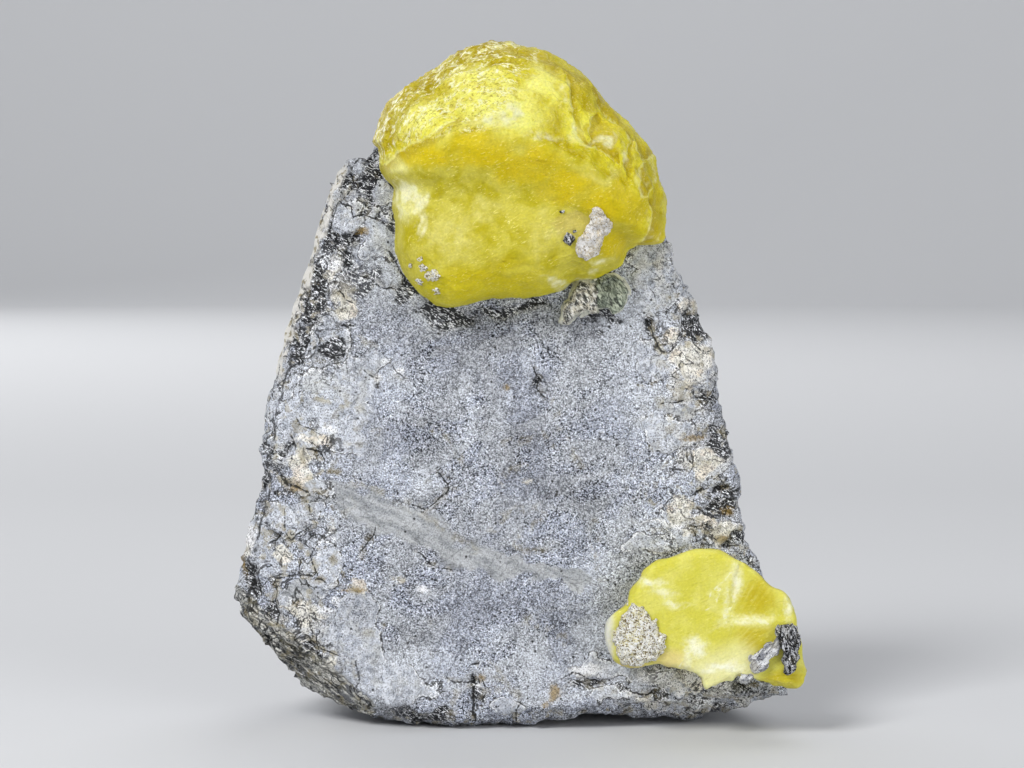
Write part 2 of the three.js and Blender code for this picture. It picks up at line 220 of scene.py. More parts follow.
class Level:
    """What a node of a finish puts out: a number or a colour at each point of the surface."""

    def __init__(self, finish, socket):
        self.finish = finish
        self.socket = socket

    # Each sum, difference, product and size becomes a Math node.
    def __add__(self, other):
        return self.finish.calc("ADD", self, other)

    def __sub__(self, other):
        return self.finish.calc("SUBTRACT", self, other)

    def __rsub__(self, other):
        return self.finish.calc("SUBTRACT", other, self)

    def __mul__(self, other):
        return self.finish.calc("MULTIPLY", self, other)

    def __abs__(self):
        return self.finish.calc("ABSOLUTE", self)

    def window(self, low, high, bottom=0.0, top=1.0):
        """The smooth step from low to high, as bottom to top."""
        inputs = {0: self, 1: low, 2: high, 3: bottom, 4: top}
        return self.finish.put("MapRange", inputs, interpolation_type="SMOOTHSTEP")

    def tones(self, first, second):
        """From one colour where this is 0 to another where it is 1."""
        return self.finish.blend(self, first, second)

    def coats(self, *coats):
        """This colour under coats of others, each given as its share at every point and its colour."""
        colour = self
        for share, over in coats:
            colour = self.finish.blend(share, colour, over)
        return colour

    def shaded(self, share, factor):
        """This colour times a factor, up to a share."""
        return self.finish.blend(share, self, factor, "MULTIPLY")


# %% Finish
class Finish:
    """One material, and short calls for the kinds of nodes that the finishes share."""

    def __init__(self, name):
        self.material = bpy.data.materials.new(name)
        self.material.use_nodes = True
        self.tree = self.material.node_tree
        self.shader = self.tree.nodes["Principled BSDF"]
        place = self.put("TexCoord", output="Object")
        self.place = self.put("VectorMath", {0: place, "Scale": 1 / MM}, operation="SCALE")

    def plug(self, value, socket):
        """Link a level to a socket, or set it to a constant. A colour is given in display values."""
        if isinstance(value, Level):
            self.tree.links.new(value.socket, socket)
        else:
            socket.default_value = paint(*value) if socket.type == "RGBA" else value

    def put(self, kind, inputs=None, output=0, **settings):
        node = self.tree.nodes.new("ShaderNode" + kind)
        for setting, value in settings.items():
            setattr(node, setting, value)
        for socket, value in (inputs or {}).items():
            self.plug(value, node.inputs[socket])
        return Level(self, node.outputs[output])

    def field(self, name):
        return self.put("Attribute", output="Fac", attribute_name=name)

    def calc(self, operation, a, b=0.0):
        return self.put("Math", {0: a, 1: b}, operation=operation)

    def blend(self, share, under, over, mode="MIX"):
        return self.put("Mix", {0: share, 6: under, 7: over}, 2, data_type="RGBA", blend_type=mode)

    def stretched(self, x, y, z, turn=0.0, place=None):
        """Coordinates with a pattern's grain drawn out along an axis by scaling it down there."""
        inputs = {"Vector": place or self.place, "Scale": (x, y, z), "Rotation": (0, turn, 0)}
        return self.put("Mapping", inputs, vector_type="TEXTURE")

    def noise(self, size, detail=2.0, place=None, distortion=0.0):
        inputs = {"Vector": place or self.place, "Scale": 1 / size, "Detail": detail}
        return self.put("TexNoise", inputs | {"Distortion": distortion})

    def grains(self, size):
        """Two random numbers for each grain of about that size."""
        colour = self.put("TexVoronoi", {"Vector": self.place, "Scale": 1 / size}, "Color")
        numbers = self.put("SeparateColor", {0: colour}).socket.node.outputs
        return Level(self, numbers[0]), Level(self, numbers[1])

    def wear(self, colour, rough, height, **constants):
        """Wire up the shader: colour, roughness, a bump whose height is in millimetres, and constants."""
        bump = self.put("Bump", {"Height": height, "Distance": MM, "Strength": 1.0}, "Normal")
        sockets = {"Base Color": colour, "Roughness": rough, "Normal": bump} | constants
        for name, value in sockets.items():
            self.plug(value, self.shader.inputs[name.replace("_", " ")])
        print(self.material.name, "has", len(self.tree.nodes), "nodes")
        return self.material


# %% [markdown]
# ## The slab's outline
# Seen from the front, the slab is a leaning trapezoid: narrow under the large nodule, wide at the foot.
# Four listed edges bound it. Filling them with one flat face would leave nothing to displace, so a
# Coons patch stretches a grid over them: blend left with right and bottom with top, add the two, and
# take away the blend of the corners, which was counted twice.

# %% Slab outline
SLAB_LEFT = [
    (-33.4, 10.9), (-35.1, 13.3), (-36.9, 15), (-37.5, 17), (-37.4, 19.5), (-36.6, 23), (-36, 25.2),
    (-35.1, 28), (-34.3, 32), (-34, 36), (-33.5, 40), (-32.9, 43), (-31.7, 47.5), (-31, 50.5),
    (-29.8, 54.5), (-28.7, 57.8), (-27.3, 61.8), (-26.3, 65.5), (-25.2, 69.5), (-23.9, 72.8), (-22.5, 75),
]
SLAB_RIGHT = [
    (35.2, 4.6), (35.5, 8), (34.4, 13), (33, 18), (31.2, 21.6), (30.5, 23.8), (29.3, 27), (28.8, 30),
    (29.2, 31.6), (28, 35.5), (26.6, 40.5), (25.5, 45.5), (25.3, 49.5), (24.2, 53.5), (22.2, 57.2),
    (20.4, 60.4), (19.5, 63), (18.8, 65.5),
]
SLAB_BOTTOM = [
    (-33.4, 10.9), (-30.8, 7.4), (-28.4, 4.5), (-25.5, 3.2), (-22, 2), (-18, 0.9), (-14, 0.4), (-10, 0),
    (-6.5, 0), (-1.5, 0), (1.5, 0.2), (4, 1.1), (8, 1.4), (13, 1.8), (17.5, 1), (22.5, 0.5), (26, 1.1),
    (30, 2.6), (35.2, 4.6),
]
SLAB_TOP = [
    (-22.5, 75), (-20.2, 75.3), (-18.8, 77), (-15, 77.8), (-8, 77), (0, 75.5), (8, 72.5), (14, 69.3),
    (18.8, 65.5),
]


def along(points, t):
    """The points a share t of the way along a polyline, by length, as two columns."""
    points = np.array(points, float)
    reach = np.append(0, np.cumsum(np.linalg.norm(np.diff(points, axis=0), axis=1)))
    goal = np.clip(t, 0, 1) * reach[-1]
    return np.stack([np.interp(goal, reach, points[:, n]) for n in (0, 1)], -1)


def slab_face(a, c):
    """Coons patch of the four edges for a across and c upward, each 0 to 1."""
    a_, c_ = a[:, None], c[:, None]
    low = (1 - a_) * SLAB_LEFT[0] + a_ * np.array(SLAB_RIGHT[0])
    high = (1 - a_) * SLAB_LEFT[-1] + a_ * np.array(SLAB_RIGHT[-1])
    across = (1 - a_) * along(SLAB_LEFT, c) + a_ * along(SLAB_RIGHT, c)
    upward = (1 - c_) * along(SLAB_BOTTOM, a) + c_ * along(SLAB_TOP, a)
    return across + upward - (1 - c_) * low - c_ * high


centre = slab_face(np.array([0.5]), np.array([0.5]))[0]
print("middle of the wall in mm, across and up:", centre.round(1))


# %% [markdown]
# ## The slab's body
# The vein wall swells gently and breaks off in facets near its rim. The back is the nearest of a few
# fracture planes. The underside falls from the front edge and is cut flat where the slab stands, so
# the real standing surface is hidden a few millimetres behind the rim.

# %% Slab body
RIM_RADIUS = 1
WALL_SWELL = 0.45
UNDERSIDE_FALL = 0.17
BACK_SHRINK_X, BACK_SHRINK_Z = 0.11, 0.05
SLAB_CELLS = (164, 44, 192)
# Point on the facet's inner edge, outward direction in the face, and how steeply it falls back.
BROKEN_BEVELS = [
    (-26, 9.9, -0.634, -0.773, 1.15), (-12, 2.2, -0.25, -0.968, 1.5), (26, 4.7, 0.08, -0.997, 1.2),
]
WORN_BEVELS = [
    (-31.8, 30, -0.995, -0.1, 0.55), (25.2, 42, 0.96, 0.28, 0.7), (-23.5, 62, -0.95, 0.3, 0.45),
]
# Depth at the origin, change with x and change with z.
BACK_PLANES = [
    (34, 0.03, -14 / 75), (37, -0.16, -0.3), (52, 0.95, -0.06), (46.5, -0.92, -0.02),
    (56, 0.22, -0.62), (44, 0.5, -0.28),
]


def bevel_depth(x, z, bevels):
    """How far the deepest of these facets lies behind the vein wall, 0 inside them."""
    depths = [slope * ((x - fx) * out_x + (z - fz) * out_z) for fx, fz, out_x, out_z, slope in bevels]
    return np.maximum(0, np.max(depths, axis=0))


def slab_front(x, z):
    """The vein wall: a gentle swell, cut back by the facets."""
    return WALL_SWELL * roughness(x, 4.0, z, 24, 2) + bevel_depth(x, z, BROKEN_BEVELS + WORN_BEVELS)


def slab_body(a, b, c):
    """Front and back surfaces joined by a share b of the depth, the outline shrinking backward."""
    x, z = slab_face(a, c).T
    to_edge = np.minimum.reduce([a * 60, (1 - a) * 60, c * 70, (1 - c) * 70, np.full(a.shape, RIM_RADIUS)])
    worn = RIM_RADIUS - np.sqrt(RIM_RADIUS**2 - (RIM_RADIUS - to_edge) ** 2)
    front = slab_front(x, z) + worn
    bulge = 0.006 * smooth(b / 0.1)
    x = x * (1 + bulge - BACK_SHRINK_X * b**1.5)
    z = z * (1 + 0.5 * bulge * c - BACK_SHRINK_Z * b**1.5)
    back = np.min([depth + per_x * x + per_z * z for depth, per_x, per_z in BACK_PLANES], axis=0)
    y = front + (back - worn - front) * b
    lowest = slab_face(a, np.zeros_like(c))[:, 1] * (1 - BACK_SHRINK_Z * b**1.5)
    fall = np.minimum(UNDERSIDE_FALL * (y - front), lowest) * (1 - c) ** 8
    return np.stack([x, y, z - fall], 1)


# %% [markdown]
# ## What is on the vein wall
# The wall is a patchwork. Thin pale plates of vein filling cling to both margins. Dark fractured rock
# shows where they broke off, and cream patches where they weathered. Dark ovals along the large
# nodule's lower outline also paint its shade on the wall. A smooth greenish band was polished when the
# wall slipped. Separate thin pieces for the plates would leave gaps at their edges.
# Instead each kind is a list of ovals whose edges noise makes ragged, and a field holds how far inside
# a patch each point is, so the relief and the colour share one outline.

# %% Patches
# Ovals as x, z, half width, half height.
PALE_PLATES = [
    (-26.5, 42.5, 7, 4.6), (-26, 50.8, 4, 2), (-24, 54, 2, 2), (-30.5, 37.8, 3, 2.6), (-20.5, 47, 3, 3),
    (-18.3, 65.2, 2.3, 3.6), (-22.5, 67.3, 1.8, 1.2), (-17.4, 70.3, 1.6, 1.2), (-22.5, 38.8, 3.4, 1.8),
    (-28.5, 28.5, 2.4, 2.2), (-34.4, 25.4, 1.6, 2.2), (-25.6, 21.5, 2.2, 3.4), (-22, 10, 5, 4.5),
    (-17, 6, 6, 2.8), (-21, 15.5, 3.2, 3), (9.5, 8.2, 3.2, 1.3), (19.3, 5.8, 1.2, 1.2), (17.5, 58.5, 3, 4),
    (18.2, 49.5, 2.4, 3), (23.2, 47.5, 2.8, 5), (22, 56.6, 1.6, 2.6), (19.5, 39, 3.6, 2.4),
    (25, 35.4, 2.3, 2.6), (20.5, 28, 3.6, 1.8), (26.6, 26.6, 2.8, 1.2), (16.5, 63, 2.4, 1.6),
    (-26.5, 33, 2, 1.2), (21, 2.8, 5, 1.4), (30, 4.4, 2.6, 0.9), (-2, 3, 2.6, 1.8), (12, 4.2, 3, 1),
    (-23.4, 7, 1.6, 2.8), (-32.6, 21.5, 1.6, 2.6), (-31.4, 27.5, 1.8, 2), (-30.5, 17.3, 1.4, 1.8),
    (-22.6, 69.2, 1.2, 1.4), (-25.4, 52.6, 2.8, 1.6), (-22.4, 66.4, 1.4, 1.5), (23.5, 26.4, 4, 2),
    (17, 24.5, 4, 1), (14, 7.2, 3, 1.2), (19, 6.8, 3, 1.4), (25.5, 5, 3, 1.2),
]
CREAM_PATCHES = [
    (-28.9, 34.4, 1.5, 1.9), (-30.7, 23.1, 1.4, 1.4), (-36, 24.2, 0.7, 1.8), (-28.6, 15.7, 2.6, 0.8),
    (-25.4, 8.4, 1.2, 2.4), (-34.8, 14.6, 1.4, 0.9), (22.7, 48.4, 2.2, 2.8), (19.6, 51.8, 1.3, 1),
    (24.2, 35, 1.9, 1.7), (20.6, 29.2, 2.6, 1.5), (24.6, 26.8, 3.4, 1.6), (-25.3, 5.6, 1.8, 0.7),
    (22.4, 6.4, 1.4, 0.9), (-22.6, 56, 1.2, 1.1), (-24.5, 59.5, 1, 0.8), (-30.4, 12.2, 2.4, 0.5),
    (-27.6, 38.4, 2.4, 0.6), (-21, 19.5, 0.9, 1.6), (-16.3, 20.6, 0.8, 0.6), (1.5, 33.4, 0.6, 0.5),
    (21.5, 55.6, 0.9, 1.3), (-32.6, 10.6, 1.4, 0.7), (-29.6, 8, 1.6, 0.6), (-26.6, 5.4, 1.6, 0.7),
    (-23.2, 3.6, 1.4, 0.6), (16.4, 3.2, 1.2, 0.6), (24.6, 2.6, 1.6, 0.5),
]
# Dark fractured rock. The ovals just under the large nodule, between x -14 and 14 at z 54 to 56, also paint
# its shade.
DARK_BREAKS_AND_PAINTED_SHADE = [
    (-35.6, 19.5, 1.2, 3.6), (-33.8, 33, 1.2, 3.8), (-31.6, 37.3, 2.2, 0.7), (-29.6, 50.6, 1.1, 2.6),
    (-24.9, 49.6, 1.6, 1.7), (-22.3, 53.4, 1.2, 0.8), (-23.4, 64.3, 1.9, 2.1), (-22, 61.6, 1.2, 1.4),
    (-26.5, 58, 1.8, 3.6), (-20.5, 72, 2.4, 2), (-32.4, 15.6, 0.7, 2), (-30, 9.8, 4, 2.2),
    (-26, 5.8, 2.6, 1.4), (-22, 2.6, 2, 0.7), (-19, 74.8, 1.2, 1.4), (-27.2, 54.6, 2, 0.6),
    (22, 53.3, 1.1, 1.8), (24.9, 44.2, 1.4, 1.1), (25.6, 38.4, 1.7, 2.6), (26.4, 29.6, 2.2, 1),
    (28, 25.2, 1.9, 1), (18.4, 51, 0.9, 0.9), (17, 54, 1, 1.3), (-13, 1.8, 4, 0.8), (2.2, 45.4, 0.8, 0.7),
    (-20.3, 25.3, 1, 0.9), (-6, 5.4, 0.9, 2.6), (29.4, 5.2, 1.6, 0.5), (24.4, 5.4, 2, 0.4),
    (-33, 12.3, 1.6, 0.8), (-15, 58.5, 1.2, 2.2), (-17.2, 66.8, 0.5, 1.2), (10.8, 54.6, 3, 0.8),
    (-9.5, 54.6, 4.6, 1.1), (-1, 55.9, 5, 0.9), (-18.9, 70, 0.8, 1.6), (23.4, 53.6, 1.7, 2.4),
    (26.2, 31.6, 2.2, 0.5), (-32.6, 25.6, 0.7, 0.5), (9, 6, 3, 0.7),
]
SMOOTH_BANDS = [
    (-25.5, 31.6, 3.4, 2.4), (-21, 29.8, 4, 2.9), (-16.5, 28, 4, 2.7), (-12, 25.8, 4, 2.5),
    (-7.5, 23.6, 4, 2), (-3, 22, 4, 1.5), (2, 20.8, 4, 1.1), (6.5, 20.2, 4, 0.8), (-27.8, 18.5, 3, 1.6),
    (21.3, 42.4, 3, 1.1), (-23, 5.8, 1.6, 1.8),
]
WHITE_SPOTS = [
    (-24.4, 26.4, 0.5, 0.7), (-24, 25.2, 0.6, 0.3), (-24.7, 19.5, 0.5, 0.3), (-24, 17.5, 0.5, 0.25),
    (-15.6, 47, 0.5, 0.4), (-17.9, 46.8, 0.4, 0.3), (-13, 18.4, 0.8, 0.5), (-23.8, 61, 0.9, 0.9),
    (20.2, 5.6, 0.7, 0.9), (20, 27.4, 3, 0.3), (-5.5, 6.1, 0.5, 0.4), (-25.7, 16.3, 1.2, 0.3),
    (8.8, 8.1, 2.4, 0.8), (17.8, 6.9, 3, 1.1), (26.6, 5.7, 1.6, 0.5), (22.6, 6.6, 1, 0.5),
    (-29.3, 44.6, 0.4, 0.5), (-25, 39.8, 0.9, 0.4), (24.7, 50.6, 0.4, 1), (-35.4, 25.6, 0.8, 0.9),
]
OCHRE_SPOTS = [
    (4.3, 5.1, 0.7, 1.1), (3.4, 3.6, 0.4, 0.4), (-20.6, 65.5, 0.8, 0.5), (22.6, 38.7, 1.4, 0.4),
    (-5, 6.9, 0.5, 0.3), (-21.7, 18.7, 1.4, 0.3), (-25.6, 6, 0.8, 0.4), (27.2, 29, 0.8, 0.5),
    (-1.9, 45.4, 0.4, 0.4), (26.4, 25.6, 0.8, 0.5), (-29, 32.2, 0.9, 0.3), (-36.4, 22, 0.3, 1.2),
]
print(len(PALE_PLATES), "pale plates and", len(DARK_BREAKS_AND_PAINTED_SHADE), "dark breaks on the wall")

# %% [markdown]
# ## Slow changes from place to place
# Between its patches the rock is lighter, dimmer, dirtier or warmer over a centimetre or so. Some light
# zones also paint light into the shade of the nodules, and some dim ones paint shade under the large
# nodule. These zones have no edges: their share falls off smoothly, and they shift the speckle's tone,
# dirt or tint.

# %% Zones
# Lighter rock. The zones beside and under the small nodule, and right of the flake, paint light into the
# nodules' shade.
PALER_ROCK_AND_PAINTED_LIGHT_ZONES = [
    (-12, 8, 9, 3.6), (17, 44, 6, 9), (-26, 40, 7, 9), (14, 27, 8, 3), (6, 6, 10, 3), (-20, 11, 3, 3),
    (-26, 26, 2, 3), (-30.4, 17, 2, 3), (-28, 12.6, 2, 2), (-16.3, 34.4, 2, 2), (14, 56, 4, 5),
    (-17, 45, 3, 5), (-6.8, 42, 0.8, 5), (-12, 33, 5, 1.2), (1, 49, 0.9, 5), (12, 34, 5, 1),
    (16.7, 59.5, 2, 2.5), (18.6, 53, 2, 2.5), (-19.5, 4.4, 2, 1.4), (7, 9.7, 2, 2.4), (-2.6, 43.9, 1.4, 2),
    (9.5, 13, 2.6, 5), (-18.5, 5, 5, 2), (-31, 17, 2, 3), (-31, 27, 2, 3), (-19, 66, 2, 3),
    (22, 26, 5, 2.4), (18, 6, 10, 3), (-18, 60, 3, 3), (-20, 67, 3, 2), (-26, 51, 3, 2),
    (24, 26.5, 3.4, 2.4), (18, 6.7, 5, 2.4), (-31, 22, 4, 5), (-17, 75.5, 3, 2), (2, 8, 3, 3),
    (11, 21, 5, 4), (17, 26, 4, 3), (17.5, 61, 3, 2.6), (-3.4, 13, 2.4, 3), (-26, 23, 3, 4),
    (24, 27.4, 3, 2), (26, 33, 3, 4), (21, 33, 3, 4), (24, 52, 2, 4),
]
# Dimmer rock. The zones just under the large nodule paint its shade.
DIMMER_ROCK_AND_PAINTED_SHADE_ZONES = [
    (-4, 52.5, 12, 4.5), (4, 32.4, 3, 2.8), (9, 30, 2.5, 5), (-13, 37, 3, 3), (-4, 16, 3, 2),
    (5, 13.4, 3, 2), (0.4, 40, 3, 4), (-21.6, 16.6, 2, 2), (-15.5, 41.6, 2, 2), (-13, 12.6, 3, 2),
    (14, 25.7, 2, 2.4), (22.4, 39.4, 2, 1), (-6, 54.5, 7, 1.6), (-5.7, 49.6, 3, 2.5), (-15, 54.5, 3, 1.4),
    (-12, 39.5, 3, 3), (0.5, 34, 3, 3), (8, 54, 2.4, 1.6),
]
DIRTY_ZONES = [
    (-22.8, 68, 3.4, 6), (-19, 71.5, 3, 3.4), (-24.5, 60, 4, 4.5), (-21.6, 60, 2.6, 2.6),
    (-26.5, 55.5, 3.2, 4), (23.5, 53.5, 1.6, 3), (-34, 33, 1.1, 4), (-35.4, 20, 1.2, 3.6),
    (-13.5, 1.6, 5, 1.2), (-30.4, 10.6, 5, 3), (27, 1.5, 8, 0.9),
]
WARM_ZONES = [
    (22.5, 47, 4, 9), (23.5, 35, 4, 4), (24.5, 27, 4, 2.6), (-29, 13.5, 4, 4), (-25.5, 7.5, 3, 4),
    (-30, 35, 2.5, 3), (27, 3.5, 8, 2.5), (21, 5.5, 4, 2), (-23.5, 57, 3, 2), (18, 61, 3, 3),
]


RAGGED_SIZE = 2.6


def ragged(x, z, strength, y=0.0):
    """x and z pushed about by three octaves of noise, so that what is drawn on them gets ragged edges."""
    return (
        x + strength * roughness(x, 11.0 + y, z, RAGGED_SIZE, 3),
        z + strength * roughness(x, 57.0 + y, z, RAGGED_SIZE, 3),
    )


def inside_ovals(x, z, ovals):
    """How far inside the nearest oval each point is, in mm: (1 - its reach) times the smaller radius."""
    best = np.full(x.shape, -9.0)
    for centre_x, centre_z, half_x, half_z in ovals:
        reach = np.hypot((x - centre_x) / half_x, (z - centre_z) / half_z)
        best = np.maximum(best, (1 - reach) * min(half_x, half_z))
    return best


def zone_share(x, z, zones):
    """1 at the middle of the nearest oval, falling smoothly to 0 at 1.3 times its size."""
    reach = [np.hypot((x - mid_x) / half_x, (z - mid_z) / half_z) for mid_x, mid_z, half_x, half_z in zones]
    return smooth(1.3 - np.min(reach, axis=0))


print(len(PALER_ROCK_AND_PAINTED_LIGHT_ZONES), "light zones and", len(DIMMER_ROCK_AND_PAINTED_SHADE_ZONES), "dim ones")

# %% [markdown]
# ## Cracks
# Cracks cut as real grooves would need a far finer mesh. Instead the longest ones are short polylines,
# and each point of the wall gets its distance to the nearest one, with a sign for the side it lies on.
# Across a crack the sign changes between two neighbouring points, so the line of zero is sharp even on
# a coarse grid. The distance also makes a shallow groove.

# %% Cracks
# Half width, then the crack's points.
CRACKS = [
    (0.08, [(-28.8, 45.3), (-27.6, 44.5), (-25.5, 43.7), (-24, 43.5), (-22.5, 43), (-20.8, 42.6)]),
    (0.14, [(-29.1, 41.3), (-28.2, 40.4), (-27, 39.9), (-26, 39.2)]),
    (0.07, [(-21, 51.8), (-20, 51), (-18.4, 50.2)]),
    (0.14, [(-20.3, 47.4), (-19.5, 47), (-18.6, 46.5)]),
    (0.14, [(-16.6, 48), (-16, 47.2), (-15.1, 46.5)]),
    (0.18, [(-23.6, 57.8), (-22.8, 56.7), (-21.6, 56.2)]),
    (0.16, [(-20.2, 59.6), (-18.8, 58.7), (-17.4, 58.1), (-16.4, 58.2)]),
    (0.18, [(-23.2, 69.4), (-21.9, 68.9), (-21.6, 67.3), (-20.2, 67.6), (-19, 67.3)]),
    (0.18, [(-22.3, 73.2), (-22, 71.6), (-22.7, 70.2)]),
    (0.23, [(-18.6, 72.8), (-17.5, 72), (-16.2, 71.2)]),
    (0.27, [(-16.8, 62.8), (-15.9, 61), (-14.8, 59), (-13.4, 57.6)]),
    (0.07, [(-22.3, 40.2), (-20.5, 39.3), (-20.1, 38.4), (-21, 37.7), (-22.2, 37.8)]),
    (0.07, [(-20.2, 40.4), (-18.8, 39.5), (-17.2, 39)]),
    (0.22, [(-29.7, 38.6), (-29.3, 37.2), (-29.6, 36)]),
    (0.2, [(-27.6, 37.1), (-26.2, 36.8), (-25.7, 35.8)]),
    (0.08, [(-26.7, 34.2), (-25, 34.1), (-23.8, 34.2), (-22.5, 33.6), (-21.3, 32.6)]),
    (0.25, [(-31.5, 33.8), (-30.5, 32.5), (-29, 32.2), (-27.8, 31.7)]),
    (0.18, [(-27.9, 30.2), (-27.3, 29), (-26.6, 27.6)]),
    (0.15, [(-30.8, 29.2), (-30.7, 27), (-30.3, 25.8), (-30, 25), (-29.2, 25.9), (-28.1, 26.6)]),
    (0.27, [(-32.6, 24.8), (-31.3, 26.1), (-30.2, 26.1)]),
    (0.2, [(-32.3, 20.1), (-31.1, 20.2), (-29.8, 20.4), (-28.3, 20.6), (-27.2, 20.5), (-25.7, 19.9)]),
    (0.18, [(-27.7, 23.4), (-27.2, 22), (-26.5, 20.8)]),
    (0.18, [(-29.1, 22.2), (-29, 20.7)]),
    (0.18, [(-32.4, 20), (-32.2, 18.3), (-32.5, 17), (-31.9, 15.5), (-32, 14), (-33.2, 13.8)]),
    (0.07, [(-24.6, 23.2), (-23.5, 21.5), (-22.5, 20), (-22.2, 19), (-21, 18.4), (-19.6, 18.2)]),
    (0.08, [(-20.6, 24), (-21.6, 22.2), (-22.8, 20.9)]),
    (0.18, [(-20.9, 23.9), (-19.8, 25.2), (-19, 26.6)]),
    (0.07, [(-20.3, 13), (-19, 13.3), (-17.8, 13.9)]),
    (0.16, [(-27.6, 11.8), (-26, 10.8), (-23.6, 10)]),
    (0.14, [(-21.4, 9.2), (-21.2, 6.8), (-21.7, 5.4), (-20.4, 3.8)]),
    (0.16, [(-13.4, 23.6), (-12.3, 22.6), (-10.8, 21.6), (-9.2, 21.3)]),
    (0.08, [(-12.6, 40.2), (-10.5, 39.4), (-8.9, 38.1), (-7.9, 35.3), (-8.9, 33.7), (-8.5, 31.4)]),
    (0.18, [(-10.8, 34), (-9.5, 32.7), (-9.2, 31.7), (-10.5, 30.5), (-12.5, 29.1), (-14.5, 30.2)]),
    (0.08, [(-4, 26.1), (-2.3, 28.2), (-0.4, 29.1), (2.5, 29.5), (3.9, 28.7)]),
    (0.07, [(3, 23.8), (1.6, 23.6), (-1.1, 24.2), (0.9, 26.5), (2.6, 27.9)]),
    (0.07, [(-2.8, 31.7), (-2.3, 33.1), (-1, 34.4), (1.3, 35)]),
    (0.08, [(9.7, 27.6), (9.9, 25), (9.7, 21.8)]),
    (0.07, [(1.1, 14.6), (2.2, 13.8), (4.2, 12.8), (6, 12.8), (5.8, 11.8)]),
    (0.38, [(-6.4, 7.1), (-6.1, 6.2), (-6.3, 5.2), (-6.2, 4.3), (-6, 3.3), (-6.2, 2.3), (-5.6, 1.3)]),
    (0.23, [(-6.2, 8.6), (-5.5, 9)]),
    (0.18, [(-6, 6.3), (-7.3, 6.1), (-8.5, 6.4), (-9.5, 6.9)]),
    (0.22, [(-5.1, 6.6), (-4.5, 5.7), (-4.3, 5), (-4.8, 4), (-5, 3.2)]),
    (0.07, [(-4.3, 9), (-3, 7.6), (-1.8, 6.3), (-1.9, 5.2), (-0.2, 4.9)]),
    (0.18, [(0, 5.2), (0.2, 4.5), (0, 3.7), (-0.5, 2.8), (-0.6, 1.8), (-0.3, 0.6)]),
    (0.07, [(-8.5, 5.2), (-8.8, 3.5), (-8.8, 2)]),
    (0.07, [(-4.4, 5.5), (-2.2, 5.5)]),
    (0.18, [(5.9, 7.1), (6.6, 7.6), (8, 7.4), (9.2, 6.8), (10.5, 6.5), (11.4, 6.2)]),
    (0.08, [(5.8, 5.1), (6.2, 6), (8.5, 6), (10, 5.9), (12, 5.4), (13, 4.9), (13.1, 3.9), (13.9, 3.3)]),
    (0.16, [
        (14.4, 6.3), (14.2, 5.3), (15, 4.9), (16.5, 4.5), (17.4, 5.2), (17.6, 4), (18.6, 3.4), (20.2, 3.2),
    ]),
    (0.08, [(20.2, 3.2), (21.2, 4.1), (22.6, 5)]),
    (0.14, [(15.7, 45.9), (16.6, 45.6), (17.2, 46.4)]),
    (0.18, [(18.3, 43.1), (19.3, 43.4), (20.5, 43.2), (21.4, 43.5)]),
    (0.18, [(21, 45.2), (22.4, 45), (22.8, 44.4), (23.3, 43.8), (24.8, 43.9)]),
    (0.14, [(17.1, 57.9), (17.5, 56.9)]),
    (0.22, [(16.4, 54.3), (17.2, 53), (17.8, 51), (18.2, 50.2), (19.2, 49.8)]),
    (0.29, [(22.6, 31.2), (23.8, 32), (25, 31.8), (27, 32)]),
    (0.22, [(23.4, 29.2), (24.2, 28.4), (25.6, 28.2)]),
    (0.18, [(22.6, 26.4), (23.2, 25.2)]),
    (0.23, [(24.5, 25.8), (25.8, 25.2), (26.2, 24.2), (27.5, 24.3), (28.7, 24.4)]),
    (0.07, [(15.1, 33.5), (16.5, 31.6), (17.6, 30.2)]),
    (0.07, [(-24.5, 34.2), (-21.5, 33), (-18, 31.6), (-15, 29.9), (-11.6, 28), (-8.4, 25.6), (-5.6, 23.8)]),
    (0.2, [(1.8, 47.6), (2.4, 46.2), (2.2, 45.1), (3.3, 44)]),
    (0.08, [(-2.4, 38), (-0.6, 38.3), (1.4, 38.4), (3, 39.2), (4.2, 38)]),
    (0.07, [(4.2, 43.4), (5.4, 40.8), (6.3, 37.6), (8, 35)]),
]


def line_fields(x, z, lines):
    """Signed distance to the nearest line in half widths, its plain distance and half width in mm. The
    nearest point of a stretch is its start plus the share t, clipped to 0..1. A cross product gives
    the sign."""
    near = np.full(x.shape, 9.0)
    signed = np.full(x.shape, 9.0)
    width = np.zeros(x.shape)
    for half_width, points in lines:
        for (x0, z0), (x1, z1) in zip(points, points[1:]):
            dx, dz = x1 - x0, z1 - z0
            t = np.clip(((x - x0) * dx + (z - z0) * dz) / (dx * dx + dz * dz), 0, 1)
            reach = np.hypot(x - x0 - t * dx, z - z0 - t * dz)
            side = np.where((x - x0) * dz > (z - z0) * dx, 1, -1)
            closer = reach < near
            signed = np.where(closer, side * reach / half_width, signed)
            width = np.where(closer, half_width, width)
            near = np.where(closer, reach, near)
    return signed, near, width


print(len(CRACKS), "cracks drawn on the wall")

# %% [markdown]
# ## The slab's fields
# The wall could be painted by hand, but the paint would not know the relief. Here each point works out
# its own fields: whether it is on the wall, how far inside a patch it is, how near a crack. Both the
# relief and the finish read them, so a plate that stands proud is also pale. The wall's left edge shows
# a pale vein seen edge on.

